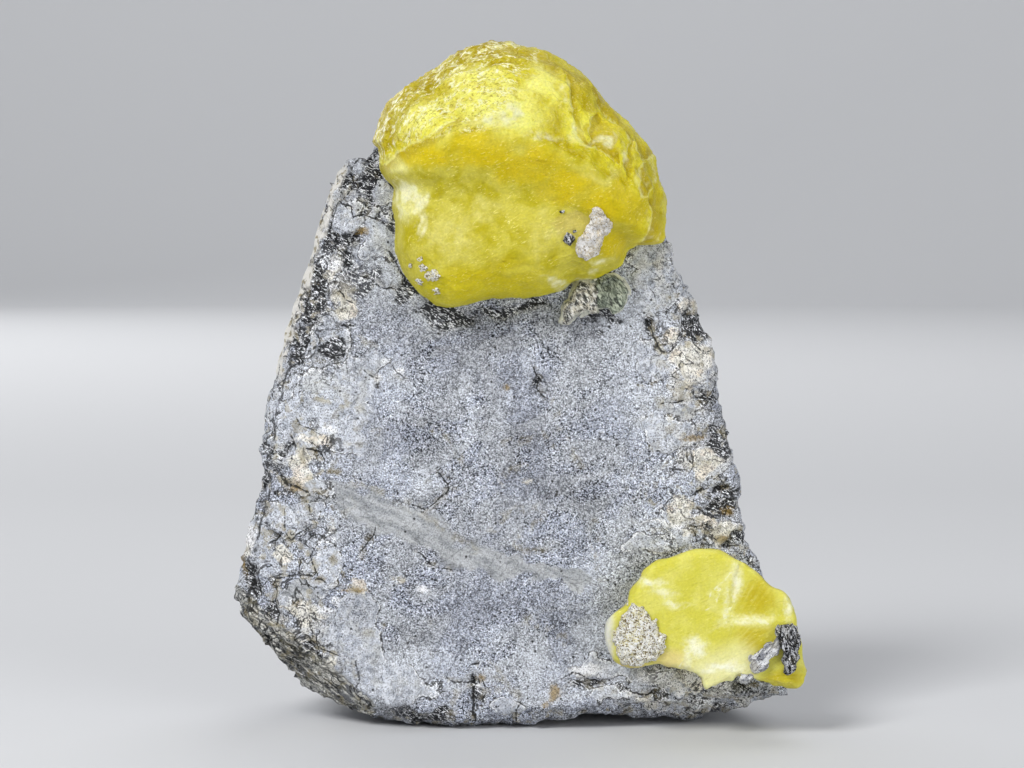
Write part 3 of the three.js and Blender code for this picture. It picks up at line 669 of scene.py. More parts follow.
# %% Slab fields
SLAB_POINTS, SLAB_QUADS = box_skin(*SLAB_CELLS)
SLAB_HEIGHT = 75
VEIN_FOOT = 45
MARGIN_START = 16
PATCH_RAGGEDNESS = 1.3
slab_a, slab_b, slab_c = SLAB_POINTS.T
slab_base = slab_body(slab_a, slab_b, slab_c)
base_x, base_y, base_z = slab_base.T
face_x, face_z = slab_face(slab_a, slab_c).T
on_broken = smooth(bevel_depth(face_x, face_z, BROKEN_BEVELS) / 0.8)
behind_rim = smooth((slab_b - 0.012) / 0.05)
on_wall = (1 - behind_rim) * (1 - on_broken)

wander = noise(base_x / 3, base_y / 3, base_z / 3)
on_left = smooth(1 - 400 * slab_a)
near_front = smooth((0.12 + 0.05 * wander - slab_b) / 0.02)
vein_height = smooth((face_z - VEIN_FOOT + 2.5 * wander) / 3) * smooth((SLAB_HEIGHT - face_z) / 2)
vein = on_left * vein_height * smooth((slab_b - 0.015) / 0.02) * near_front
from_left = face_x - along(SLAB_LEFT, slab_c)[:, 0]
strip_edge = 1 - from_left + 0.4 * noise(face_x, face_z / 1.6, 9.0)

ragged_face = ragged(face_x, face_z, PATCH_RAGGEDNESS)
margin = smooth((np.abs(face_x + 3) - MARGIN_START) / 10)
plate_noise = 0.9 * roughness(face_x, 7.0, face_z, 4.5, 3)
slab_fields = {
    "pale": np.maximum(inside_ovals(*ragged_face, PALE_PLATES), plate_noise - 1.15 + 0.55 * margin),
    "dark": np.maximum(inside_ovals(*ragged_face, DARK_BREAKS_AND_PAINTED_SHADE), -plate_noise - 1.3 + 0.6 * margin),
    "cream": inside_ovals(*ragged_face, CREAM_PATCHES),
    "polish": zone_share(*ragged(face_x, face_z, 1.2), SMOOTH_BANDS),
    "white": inside_ovals(*ragged(face_x, face_z, 0.7), WHITE_SPOTS),
    "ochre": inside_ovals(*ragged(face_x, face_z, 0.35), OCHRE_SPOTS),
    "tone_and_painted_shading": zone_share(*ragged_face, PALER_ROCK_AND_PAINTED_LIGHT_ZONES) - zone_share(*ragged_face, DIMMER_ROCK_AND_PAINTED_SHADE_ZONES),
    "dirty": zone_share(*ragged_face, DIRTY_ZONES),
    "warm": zone_share(*ragged_face, WARM_ZONES),
    "flow": on_broken * smooth((-17 - face_x) / 4),
    "wall": 1 - behind_rim,
    "margin": np.maximum(margin, on_broken),
    "vein": vein,
    "strip": vein_height * near_front * smooth(strip_edge / 0.5),
    "from_left": from_left,
}
jag_x = face_x + 0.28 * roughness(face_x, 21.0, face_z, 1.3, 2)
jag_z = face_z + 0.28 * roughness(face_x, 71.0, face_z, 1.3, 2)
crack_side, crack_near, crack_width = line_fields(jag_x, jag_z, CRACKS)
crack_depth = smooth(crack_width / 0.3)
slab_fields |= {"crack_side": crack_side, "crack_near": crack_near, "crack_depth": crack_depth}
print("slab fields:", *slab_fields)

# %% [markdown]
# ## The slab's skin
# The body is displaced along its own normals, so that front, sides and back stay joined. The vein wall
# gets its plates, pits and cracks. Everything else is fractured: several sizes of facets, and ledges
# that follow the wall, because the rock splits in sheets. Nothing may drop below the floor.

# %% Slab skin
PLATE_RISE = 0.28
BREAK_DROP = 0.35
POLISH_DROP = 0.12
CRACK_DROP = 0.5
LEDGE_SPACING = 2.4
BOTTOM_BAND = 1.6
base = slab_base.T
pale_share = smooth(slab_fields["pale"] / 0.3 + 0.5)
dark_share = smooth(slab_fields["dark"] / 0.4 + 0.5)
polish_share = slab_fields["polish"]
crack_share = crack_depth * np.exp(-((crack_near / 0.3) ** 2))
wall_relief = (
    0.24 * roughness(*base, 6, 2)
    + 0.09 * roughness(*base, 1.3, 2) * (1 - 0.7 * polish_share)
    + 0.16 * (0.3 + margin) * facets(*base, 2.2, 2.4) * (1 - polish_share)
    + PLATE_RISE * pale_share
    - dark_share * (BREAK_DROP + 0.3 * roughness(*base, 1.5, 2))
    - POLISH_DROP * polish_share
    - CRACK_DROP * crack_share
)
ledges = (base_y / LEDGE_SPACING + 0.8 * roughness(*base, 14, 2)) % 1
break_relief = (
    behind_rim * (0.9 * facets(base_x, base_y * 1.6, base_z, 8, 2.2) - 1.2)
    + smooth((slab_b - 0.1) / 0.3) * 1.3 * facets(*base, 19, 1.8)
    + 0.36 * facets(base_x, base_y * 1.8, base_z, 2.4, 2.4)
    + 0.12 * facets(*base, 1.1, 2.4)
    + behind_rim * 0.45 * (ledges - 0.5)
    + 0.12 * roughness(*base, 1.2, 2)
)
slab_relief = on_wall * wall_relief + (1 - on_wall) * break_relief

# The lower rim is chipped, and the vein stands a little proud.
to_bottom = smooth((BOTTOM_BAND - SLAB_HEIGHT * slab_c) / BOTTOM_BAND)
same_depth = np.full(base_y.shape, 5.0)
chips = 0.6 * facets(base_x, same_depth, base_z, 2.6, 2.4) + 0.25 * facets(*base, 1, 2.4)
slab_relief += on_wall * to_bottom * (chips + 0.2)
slab_relief += vein * (0.15 + 0.3 * noise(base_x, base_y / 0.9, base_z / 1.8) - slab_relief)
slab_points = slab_base + slab_relief[:, None] * normals(slab_base, SLAB_QUADS)
slab_points[:, 2] = np.maximum(slab_points[:, 2], 0)
print("slab relief", slab_relief.min().round(2), "to", slab_relief.max().round(2), "mm")

# %% [markdown]
# ## The rock's finish
# Fresh serpentinite with chromite is salt and pepper: dark grains and a few white ones on grey, in
# clusters of about a third of a millimetre. Noise alone looks like cloth, and separate grains look like
# gravel, so the speckle is a sum of both: a random number for each grain, worm-shaped clusters and slow
# changes from place to place. The layers that follow share these unevennesses, and add fine noise to a
# field before it is cut off, so that no edge is blurred.

# %% Speckle
GRAIN_SIZE = 0.135
CLUSTER_SIZE = 0.28
rock = Finish("speckled_rock")
fine = rock.noise(0.35, 3) - 0.5
ragged_edge = fine * 0.9
mottle = rock.noise(0.8, 4)
patchy = rock.noise(1.3, 4)
cloudy = rock.noise(1.6, 4)
broad = rock.noise(2.3, 4)
wide = rock.noise(7, 5, rock.stretched(1, 1, 1.7, 0.3), 0.8)
widest = rock.noise(12, 5, rock.stretched(1, 1, 2, 0.5))
veil = rock.noise(6, 5, rock.stretched(1.6, 1, 1, -0.3), 1.2)


def inside(name, soft):
    """1 where a field with a ragged edge is above 0, with an edge this soft."""
    return (rock.field(name) + ragged_edge).window(-soft, soft)


def uneven(name, strength):
    """A field plus so much cloudy noise."""
    return rock.field(name) + (cloudy - 0.5) * strength


def contour(level, middle, half_width):
    """1 where a noise is within half a width of this value: a contour line, as on a map."""
    return abs(level - middle).window(half_width, 0.4 * half_width)


grain, grit = rock.grains(GRAIN_SIZE)
pepper = (grain + 0.16) * 0.62 + rock.noise(CLUSTER_SIZE, 1, distortion=1.0) * 0.6
# The tone field, with its painted light and shade, shifts the speckle here and in the coats below.
pepper = pepper + broad.window(0.35, 0.65, -0.04, 0.04) + rock.field("tone_and_painted_shading") * 0.08
speckled = veil.window(0.4, 0.6).tones((174, 180, 196), (180, 183, 188)).coats(
    (pepper.window(0.78, 1.03), (230, 234, 242)),
    (pepper.window(0.685, 0.45), (20, 22, 30)),
    (wide.window(0.46, 0.58) * 0.3, (168, 172, 183)),
    (veil.window(0.52, 0.56) * 0.3, (190, 194, 203)),
    (uneven("tone_and_painted_shading", 1.6).window(0.1, 0.9) * 0.2, (196, 200, 208)),
)
print("speckle made with", len(rock.tree.nodes), "nodes")

# %% [markdown]
# ## Polish, dirt, plates and breaks
# Each of these is a small picture of its own, laid on the speckle where its field says so. The polished
# band is streaked along the slip. Dirty rock and fresh breaks are short black and white strokes. Pale
# plates are mottled, with a broken dark rim that is partly painted shadow, and a painted highlight
# along the lip inside it.
#
# Hairlines wander like contour lines on a map, so they are made as such: wherever a noise passes one
# value.

# %% Polish and dirt
streaks = rock.noise(1.1, 4, rock.stretched(4, 1, 0.8, 0.45))
polished = streaks.window(0.35, 0.62).tones((144, 147, 149), (194, 196, 197))
polish = uneven("polish", 0.5).window(0.12, 0.6)

fibres = rock.noise(0.26, 3, rock.stretched(3.2, 1, 1, 0.5), 1.2)
threads = rock.noise(1.5, 4, distortion=0.5)
dirt = patchy.window(0.44, 0.6).tones((34, 36, 41), (152, 155, 163)).coats(
    (fibres.window(0.555, 0.58) * 0.85, (244, 246, 250)),
    (fibres.window(0.45, 0.425) * 0.95, (8, 8, 10)),
    (contour(threads, 0.5, 0.026) * 0.9, (16, 16, 18)),
    (contour(threads, 0.42, 0.03) * 0.9, (244, 245, 248)),
    (broad.window(0.54, 0.62) * 0.5, (140, 132, 98)),
)
rock_colour = speckled.coats(
    (polish * 0.75, polished),
    (uneven("dirty", 1.6).window(0.15, 0.6) * 0.85, dirt),
)

# %% Plates and breaks
plate = mottle.window(0.34, 0.66).tones((172, 177, 187), (218, 221, 228)).coats(
    (broad.window(0.5, 0.64) * 0.5, (188, 188, 182)),
    (pepper.window(0.48, 0.34) * 0.85, (56, 58, 66)),
)
on_plate = inside("pale", 0.22)
warm = rock.field("warm") * cloudy.window(0.38, 0.62)
plate_edge = rock.field("pale") + ragged_edge
# At a plate's edge: a dark line that is partly painted shadow, and just inside it a painted highlight on the
# lip.
rim_line_and_painted_shadow = contour(plate_edge, -0.05, 0.11) * broad.window(0.45, 0.52)
painted_lip_highlight = contour(plate_edge, 0.14, 0.1) * broad.window(0.42, 0.52)
creams = mottle.window(0.36, 0.6).tones((206, 200, 182), (240, 236, 226)).coats(
    (broad.window(0.5, 0.62) * 0.4, (228, 206, 182)),
)
broken = patchy.window(0.5, 0.7).tones((28, 29, 33), (150, 153, 160)).coats(
    (fibres.window(0.55, 0.58) * 0.9, (244, 246, 250)),
    (fibres.window(0.455, 0.43), (8, 9, 11)),
)
rock_colour = rock_colour.coats(
    (on_plate * 0.78, plate),
    (warm * 0.45, (212, 206, 190)),
    (rim_line_and_painted_shadow * 0.9, (46, 43, 38)),
    (painted_lip_highlight * 0.8, (244, 245, 248)),
    (inside("cream", 0.25) * 0.7, creams),
    # Dark breaks, including painted shade under the large nodule.
    (inside("dark", 0.2) * 0.95, broken),
    (inside("white", 0.3) * 0.9, (242, 242, 244)),
    (inside("ochre", 0.3) * 0.75, (150, 124, 62)),
)

# %% [markdown]
# ## The lower left facet, grit and pinholes
# The facet at the lower left is rock that flowed, so its bands are drawn out along it. Fine grit and
# pinholes then go over everything, least over the speckled middle and the polish.

# %% Facet and grit
PINHOLE_SPACING = 1.4
along_facet = rock.stretched(3.5, 1, 0.8, 0.65)
bands = rock.noise(0.9, 4, along_facet, 1.5)
seams = contour(rock.noise(1.2, 4, along_facet, 0.8), 0.5, 0.032)
flow = bands.window(0.42, 0.57).tones((54, 55, 54), (186, 185, 176)).coats(
    (broad.window(0.5, 0.6) * 0.42, (146, 140, 104)),
    (seams * 0.9, (22, 21, 19)),
    (bands.window(0.565, 0.6) * 0.9, (240, 238, 230)),
)
rock_colour = rock_colour.coats((uneven("flow", 1.4).window(0.3, 0.7) * 0.75, flow))

gritty = rock.field("margin").window(0, 0.7, 0.72, 1) * polish.window(0, 1, 1, 0.55)
gritty = gritty * on_plate.window(0, 1, 1, 0.8)
rock_colour = rock_colour.shaded(gritty, grit.window(0, 0.6, 0.22, 1.3))
# Lighter and dimmer zones scale the colour, including painted light in the nodules' shade and painted shade
# under the large nodule.
rock_colour = rock_colour.shaded(1.0, uneven("tone_and_painted_shading", 0.6).window(-1, 1, 0.91, 1.09))
from_hole = rock.put("TexVoronoi", {"Vector": rock.place, "Scale": 1 / PINHOLE_SPACING}, "Distance")
holes = from_hole.window(0.15, 0.09) * broad.window(0.42, 0.48)
rock_colour = rock_colour.coats((holes * 0.9, (30, 28, 26)))

# %% [markdown]
# ## The broken sides and the cracks
# Away from the wall the rock is seen edge on: dark sheets with pale and olive layers, and speckle
# between them. The cracks go on last and only on the wall. They are black with a tan halo of
# weathering, and hairlines join them near the margins.

# %% Broken sides
wall = rock.field("wall").window(0.35, 0.65)
sheets = rock.noise(0.9, 4, rock.stretched(2.4, 0.8, 1.4, -0.6), 1.0)
veinlets = contour(rock.noise(15, 5, distortion=0.5), 0.5, 0.007) * veil.window(0.44, 0.54)
vein_tones = mottle.window(0.4, 0.6).tones((196, 190, 172), plate)
fresh = sheets.window(0.36, 0.6).tones((70, 72, 78), (152, 154, 160)).coats(
    (sheets.window(0.6, 0.7), (216, 217, 216)),
    (widest.window(0.36, 0.52) * 0.9, speckled),
    (wide.window(0.54, 0.64) * 0.35, (166, 162, 142)),
    (widest.window(0.6, 0.68) * 0.5, (84, 90, 86)),
    (veinlets * 0.85, (222, 220, 210)),
    (rock.field("vein"), vein_tones),
)
rock_colour = wall.tones(fresh, rock_colour)

# %% Cracks and haloes
hairlines = contour(rock.noise(3, 5, distortion=0.5), 0.5, 0.02) * wide.window(0.4, 0.52)
hairlines = hairlines * rock.field("margin").window(0, 0.8, 0.4, 0.95)
near = rock.field("crack_near")
across_crack = abs(rock.field("crack_side")) + fine * 3.2
crack = across_crack.window(0.75, 0.35) * near.window(0.5, 0.35) * cloudy.window(0.32, 0.42)
crack = crack * rock.field("crack_depth").window(0.05, 0.6, 0.4, 1.0)
halo = near.window(0.9, 0.1) * patchy.window(0.46, 0.58)
halo = halo * rock.field("margin").window(0, 0.6, 0.45, 1)
weathered = patchy.window(0.56, 0.64) * rock.field("margin")
halo = rock.calc("MAXIMUM", halo, weathered * 0.7) * wall
tans = cloudy.window(0.42, 0.6).tones((190, 180, 146), (132, 116, 64))
strip = rock.field("strip") * broad.window(0.36, 0.5)
bone = mottle.window(0.36, 0.48).tones((158, 148, 120), (234, 231, 224))
left_seam = abs(rock.field("from_left") - broad.window(0, 1, 0.6, 2.2))
left_seam = left_seam.window(0.22, 0.08) * cloudy.window(0.42, 0.52)
crack = rock.calc("MAXIMUM", crack, left_seam * 0.9)
crack = rock.calc("MAXIMUM", crack, hairlines) * wall
rock_colour = rock_colour.coats(
    (halo * 0.62, tans),
    (strip * 0.9, bone),
    (crack * 0.92, (20, 19, 17)),
)

# %% Slab
rock_height = pepper * 0.12 + mottle * 0.22
rock_rough = polish.window(0, 1, 0.75, 0.5)
rock_finish = rock.wear(rock_colour, rock_rough, rock_height, Specular_IOR_Level=0.35)
make_piece("slab_of_rock", slab_points, SLAB_QUADS, rock_finish, "rock_slab", slab_fields)

# %% [markdown]
# ## Lumps
# A nodule, a crust and a chip are all lumps: an outline seen from the front and a rounded section front
# to back. Metaballs would round the outline off, and it is what makes each lump itself. So a smooth
# curve through the outline's points gives its radius in every direction, and a cube's skin supplies the
# directions: how far one points forward sets how far in from the outline it lands.

# %% Lumps
def outline_radius(lump, angle):
    """Distance from the lump's middle to its outline: a Hermite curve through its points' distances,
    with each point's slope taken from its two neighbours."""
    points = np.array(lump["outline"], float) - (lump["x"], lump["z"])
    turn, reach = np.arctan2(points[:, 1], points[:, 0]), np.hypot(points[:, 0], points[:, 1])
    order = np.argsort(turn)
    turn, reach = turn[order], reach[order]
    turn = np.concatenate([turn[-2:] - 2 * np.pi, turn, turn[:2] + 2 * np.pi])
    reach = np.concatenate([reach[-2:], reach, reach[:2]])
    n = np.searchsorted(turn, angle, side="right")
    a0, a1, a2, a3 = (turn[n + step] for step in (-2, -1, 0, 1))
    r0, r1, r2, r3 = (reach[n + step] for step in (-2, -1, 0, 1))
    span = a2 - a1
    t = (angle - a1) / span
    slope_in = (r2 - r0) / (a2 - a0) * span
    slope_out = (r3 - r1) / (a3 - a1) * span
    return (
        (2 * t**3 - 3 * t**2 + 1) * r1
        + (t**3 - 2 * t**2 + t) * slope_in
        + (3 * t**2 - 2 * t**3) * r2
        + (t**3 - t**2) * slope_out
    )


def spread(lump, points):
    """Where each direction of a cube's skin lands in the outline's plane, and how far it points forward,
    both on a section whose squareness rounds it: sine and cosine to the power 2 over squareness."""
    direction = 2 * points - 1
    length = np.linalg.norm(direction, axis=1)
    x, y, z = direction.T
    across = (np.hypot(x, z) / length) ** (2 / lump["square"])
    forward = -np.sign(y) * (np.abs(y) / length) ** (2 / lump["square"])
    angle = np.arctan2(z, x)
    radius = outline_radius(lump, angle) * across
    return lump["x"] + radius * np.cos(angle), lump["z"] + radius * np.sin(angle), forward, across


def dome_front(lump, x, z):
    """Depth of the rounded front: middle less the front depth times (1 - share^n)^(1/n)."""
    dx, dz, power = x - lump["x"], z - lump["z"], lump["square"]
    share = np.clip(np.hypot(dx, dz) / outline_radius(lump, np.arctan2(dz, dx)), 0, 1)
    return lump["y"] - lump["front"] * (1 - share**power) ** (1 / power)


# %% [markdown]
# ## The large nodule's shape
# The upper part is a natural dome of fine growth layers. Below an arched lip the nodule was broken: its
# face drops back, then swells forward to a smooth round bottom. Cutting the dome with a Boolean would
# leave a hard edge. Instead the depth of the front is the larger of two surfaces, the dome's and the
# broken face's, with a rounded meeting of the two.

# %% Large nodule outline
LARGE_BRUCITE = {
    "x": 0, "y": 1, "z": 73, "front": 13.6, "back": 9, "square": 2.5,
    "outline": [
        (-2, 90), (0, 89.5), (3.5, 88.9), (5.5, 87.8), (8, 86.1), (10, 84.5), (11.4, 82.6), (13, 80.6),
        (14.7, 79.2), (16.2, 77.5), (17.3, 75.6), (17.8, 73.5), (18.8, 71.4), (19.2, 68.2), (18.9, 66),
        (18.7, 64.3), (15.4, 63.7), (14.1, 63), (13.4, 61.2), (11.8, 60.2), (9.8, 59.3), (7.3, 59.1),
        (5.5, 57.9), (3, 57.2), (-1, 57), (-4, 56.7), (-7, 55.8), (-10, 55.7), (-12.5, 57), (-14.2, 58.7),
        (-15.5, 60.8), (-16.2, 63), (-16.1, 66), (-16.6, 69), (-16.5, 71), (-17.6, 72.4), (-18.3, 74),
        (-18.3, 76.4), (-18.8, 77.3), (-18.3, 79.3), (-17.4, 81.6), (-15.5, 83.8), (-13.2, 85.2),
        (-11, 87), (-8, 88.6), (-5, 89.6),
    ],
}
LARGE_CELLS = (140, 64, 140)
LIP_HEIGHT = 78.6
LIP_CURVE = 0.02
DEPTH_AT_LIP = -15.4


def below_lip(x, z):
    """How far below the arched, ragged lip a point is, in mm."""
    arch = LIP_HEIGHT - LIP_CURVE * (x + 4.5) ** 2
    return arch + 0.5 * noise(x / 3.1, 3.0, z / 9) + 0.25 * noise(x / 1.1, 8.0, z / 4) - z


def soft_maximum(a, b, rounding):
    """Half of a + b + the root of (a - b) squared plus the rounding squared."""
    return (a + b + np.sqrt((a - b) ** 2 + rounding**2)) / 2


def large_front(x, z):
    """The dome, or the broken face where that lies deeper, with a rounded meeting of the two."""
    below = below_lip(x, z)
    drop = 3.7 - 1.4 * smooth((x - 4) / 10)
    swell = 1.2 * smooth((below - 8) / 10)
    broken = DEPTH_AT_LIP + 1.8 * smooth(below / 2.4) + drop * smooth(below / 9) - swell
    rounding = 0.9 + 3.6 * smooth(below / 9)
    above_broken = DEPTH_AT_LIP - 0.1
    return soft_maximum(dome_front(LARGE_BRUCITE, x, z), np.where(below < 0, above_broken, broken), rounding)


def skin_of(lump, cells_each_way, front):
    """A lump's skin: x, y and z of its points, how far forward and across they point, and its quads.
    In front the depth is the front's, and behind it is the middle's plus the back depth."""
    skin, quads = box_skin(*cells_each_way)
    x, z, forward, across = spread(lump, skin)
    y = np.where(forward > 0, np.minimum(front(x, z), lump["y"]), lump["y"] - forward * lump["back"])
    return x, y, z, forward, across, quads


x, y, z, forward, across, large_quads = skin_of(LARGE_BRUCITE, LARGE_CELLS, large_front)
large_base = np.stack([x, y, z], 1)
print("large nodule's width, depth and height in mm:", np.ptp(large_base, axis=0).round(1))

# %% [markdown]
# ## The large nodule's relief
# Growth layers are waves of the distance from the rim, so they run along it as the real ones do. On
# the right the break steps down in thin flakes, whose edges are drawn as lines. The relief pushes each
# point out along its normal.

# %% Large nodule relief
LAYER_SPACING = 1.6
WRINKLE_SPACING = 0.8
PILLOW_SIZE = 5.5
STEP_HEIGHT = 0.1


def ridges(distance, spacing):
    """Sharp-crested waves from 0 to 1: one less the size of a sine."""
    return 1 - np.abs(np.sin(np.pi * distance / spacing))


# Edges of growth scales: half width, then points.
SCALE_EDGES = [
    (0.18, [
        (5.6, 85.5), (6.1, 84), (6.9, 81.5), (7, 78.6), (7.8, 77.2), (9.2, 76.5), (10.9, 75.5), (12.3, 74.8),
    ]),
    (0.12, [(9.5, 80.3), (9.2, 78.8), (9.1, 77.5)]),
    (0.16, [(13.5, 78.6), (14, 77.2), (13.8, 76), (13.4, 74.8), (13.5, 73.6)]),
    (0.14, [(14.9, 77), (15.1, 75.9), (15.7, 75.1), (16.8, 74.8), (17.3, 75.5)]),
    (0.18, [
        (15.7, 74.6), (15.1, 73.9), (15.3, 72.5), (15.2, 71.3), (15.7, 70.4), (16.4, 70.4), (16.8, 71.3),
    ]),
    (0.16, [(16.6, 69.1), (16.8, 68.2), (16.6, 67), (16.1, 65.6), (15.7, 64.4), (14.9, 63.7)]),
    (0.16, [(-8.7, 80.2), (-10.2, 79.3), (-11.5, 78), (-12.9, 77), (-15, 75.9), (-17.1, 74.5)]),
    (0.12, [(9.6, 83.6), (10.8, 81.6), (12.6, 79.6)]),
]
edge_x = x + 0.35 * roughness(x, 5.0 + y, z, 2, 3)
edge_z = z + 0.35 * roughness(x, 45.0 + y, z, 2, 3)
scale_side, scale_near, _ = line_fields(edge_x, edge_z, SCALE_EDGES)
scale_near = scale_near + 3 * smooth((0.26 + 0.16 * roughness(x, y, z, 3, 2) - forward) / 0.4)
front_share = smooth(forward * 6)
broken_share = smooth(below_lip(x, z) / 1.2) * front_share
grown_share = 1 - broken_share
upper_left = smooth((-x - 0.6 * (78 - z) - 1) / 8) * smooth((z - 71) / 4)
rim_distance = (1 - across) * outline_radius(LARGE_BRUCITE, np.arctan2(z - LARGE_BRUCITE["z"], x))
layers = ridges(rim_distance + 0.8 * roughness(x, y, z, 5, 2), LAYER_SPACING)
wrinkles = ridges(rim_distance + 1.5 * roughness(x, y, z, 3, 2), WRINKLE_SPACING)
pillows = cells(x + 0.8 * noise(x / 3, y / 3, z / 3), y, z, PILLOW_SIZE)[0]
steps = np.tanh(scale_side) * np.exp(-((scale_near / 1.1) ** 2)) * front_share * smooth((x - 3) / 3)
large_relief = (
    grown_share * (0.24 * layers - 0.9 * pillows**2 - 0.05)
    + grown_share * upper_left * (0.2 * layers + 0.2 * wrinkles)
    + grown_share * (0.07 * facets(x, y, z, 1.6, 2.4) + 0.045 * facets(x, y, z, 0.8, 2.4))
    + 0.25 * roughness(x, y, z, 6, 2)
    + 0.06 * roughness(x, y, z, 1.4, 2)
    + broken_share * (0.09 * facets(x, y, z, 2.6, 2) + 0.04 * facets(x, y, z, 0.8, 2))
    + STEP_HEIGHT * steps
)
large_points = large_base + large_relief[:, None] * normals(large_base, large_quads)
print("large relief", large_relief.min().round(2), "to", large_relief.max().round(2), "mm")

# %% [markdown]
# ## What clouds the large nodule
# Its colour is cloudy: bright lemon where it is thick and clean, amber in the hollow under the lip, and
# milky where tiny cleavages scatter the light. Each cloud is a list of ovals again.

# %% Large nodule clouds
BRIGHT_ZONES = [
    (-3, 82, 8, 3.6), (-11.5, 79.8, 5, 3), (0.5, 80, 4, 3), (8, 79.4, 2.4, 2), (-6, 85.4, 5, 2),
    (3, 84.5, 3, 2.4),
]
AMBER_ZONES = [
    (-12, 75.2, 3, 2), (-5, 75.6, 6, 2.6), (1, 74.2, 5, 2.6), (6, 71.4, 4.4, 2.2), (10.5, 69.4, 3, 2.6),
    (11.5, 64, 2, 2),
]
MILK_SPOTS = [
    (-13.9, 69.8, 1, 1.2), (-13.2, 68, 0.8, 1.3), (-12.2, 66.2, 0.5, 1), (-15.8, 69.4, 0.5, 1.4),
    (-1.9, 79.9, 1, 0.8), (-0.6, 81, 1, 0.8), (-4.4, 80.4, 1.2, 0.6), (3.4, 77.6, 1.5, 0.4),
    (5.6, 59, 1.4, 0.7), (9, 59.9, 1, 0.5), (10.6, 61.4, 0.8, 0.5), (7.3, 79, 0.8, 1.5),
    (10.2, 76.9, 1.5, 0.6), (11.2, 76.3, 0.7, 0.8), (13.5, 75.4, 0.5, 1.2), (15.2, 72.8, 0.3, 1.2),
    (6, 83.2, 0.5, 1.2), (16.8, 73.6, 0.25, 1), (16.2, 66.4, 0.35, 1.6),
]
# Milky haze. The last zone, below the lip's left end, is painted light where the surface turns down.
HAZE_AND_PAINTED_LIGHT_ZONES = [(-14.2, 69.4, 2, 2.6), (-3, 79.6, 4, 1.2), (-15.2, 73.6, 1.6, 1.4)]
PALE_ZONES = [
    (-9, 65.6, 3.6, 3.6), (-4.4, 68.6, 3, 2), (3.4, 65.6, 3, 3), (9.2, 59, 2, 1.2), (11, 72.6, 3.4, 0.8),
]
DEEP_ZONES = [
    (-4, 59.2, 8, 3), (11.6, 64.4, 2.4, 2.4), (16, 67.4, 3, 5), (10.6, 80, 2.2, 3.6), (14, 70, 3, 4),
    (11.6, 75, 1.6, 1.2), (16.6, 77, 1.4, 2),
]
TAN_SPOTS = [(6.6, 66.6, 2.3, 1.9)]
ragged_nodule = ragged(x, z, 1.2, y)
large_fields = {
    "bright": zone_share(*ragged_nodule, BRIGHT_ZONES) * front_share,
    "amber": zone_share(*ragged_nodule, AMBER_ZONES) * front_share,
    "pale_face": zone_share(*ragged_nodule, PALE_ZONES),
    "deep": zone_share(*ragged_nodule, DEEP_ZONES) * smooth(forward * 3),
    "haze_and_painted_light": zone_share(*ragged(x, z, 0.8, y), HAZE_AND_PAINTED_LIGHT_ZONES),
    "milk": inside_ovals(*ragged(x, z, 1.3, y), MILK_SPOTS),
    "tan": inside_ovals(*ragged(x, z, 0.9, y), TAN_SPOTS),
    # Olive painted shade along the dome's upper rim, left of x = 14.
    "painted_rim_shade": smooth((across - 0.72) / 0.26) * smooth((z - 72) / 6) * smooth((14 - x) / 6),
    "lit_edge": smooth((0.9 - rim_distance) / 0.8) * smooth((x + 2) / 6) + 0.6 * smooth((63 - z) / 6),
    "edge_side": scale_side,
    "edge_near": scale_near,
    "broken": broken_share,
    "upper_left": upper_left * grown_share,
    "round": 16 * np.arctan2(x, z - LARGE_BRUCITE["z"]),
    "inward": rim_distance,
    "front": y,
}
print("large nodule's fields:", *large_fields)

# %% [markdown]
# ## The brucite's finish
# Brucite this yellow is waxy and lets light a few millimetres in. Glass with a tinted volume inside
# would show the rock through it, so the shader scatters light just under the surface instead. Fine
# bright dashes are cleavages, and partly painted glints. Both nodules share all this, and each
# brings clouds of its own.

# %% Brucite finish
def brucite_finish(name, clouds, speckled):
    """clouds(finish) lays the piece's own patches and returns the colour, how matt it is and its height.
    The last argument is the strength of the fine bright dashes, cleavages that are partly painted glints."""
    f = Finish(name)
    colour, matt, height = clouds(f)
    dashes = f.noise(0.2, 2, f.stretched(3.4, 1, 1, -0.5), 0.4)
    where = f.noise(1.8, 3).window(0.38, 0.58)
    # Bright flecks: cleavages, partly painted glints.
    flecks = dashes.window(0.59, 0.7) * where
    specks = dashes.window(0.4, 0.31) * where
    colour = colour.coats(
        (flecks * speckled, (252, 246, 150)),
        (specks * (0.6 * speckled), (160, 142, 16)),
    )
    uneven = 0.12 * speckled
    colour = colour.shaded(1.0, f.noise(0.3, 3).window(0.35, 0.65, 1 - uneven, 1 + uneven))
    height = height + dashes * 0.1 + f.noise(1.3, 4) * 0.14
    return f.wear(
        colour, matt.window(0, 1, 0.24, 0.48), height,
        Subsurface_Weight=0.3, Subsurface_Radius=(1.0, 0.85, 0.15), Subsurface_Scale=0.0022,
        IOR=1.57, Specular_IOR_Level=0.15, Coat_Weight=0.08, Coat_Roughness=0.06,
    )


def fine_line(f, reach, worn):
    """A drawn line: where its signed distance is under one half width and its plain one under the reach,
    rubbed out where a noise is under the worn value."""
    across = abs(f.field("edge_side")) + (f.noise(0.6, 4) - 0.5) * 5
    line = across.window(1.2, 0.4) * f.field("edge_near").window(reach, 0.6 * reach)
    return line * f.noise(0.9, 3).window(worn, worn + 0.16)


# %% [markdown]
# ## The large nodule's clouds
# On the upper left the growth layers show as bright strokes, which are painted highlights, with
# painted shade in the dark gaps between them. Their noise reads coordinates made of fields: how far
# round the rim, how far in from it, and the depth.

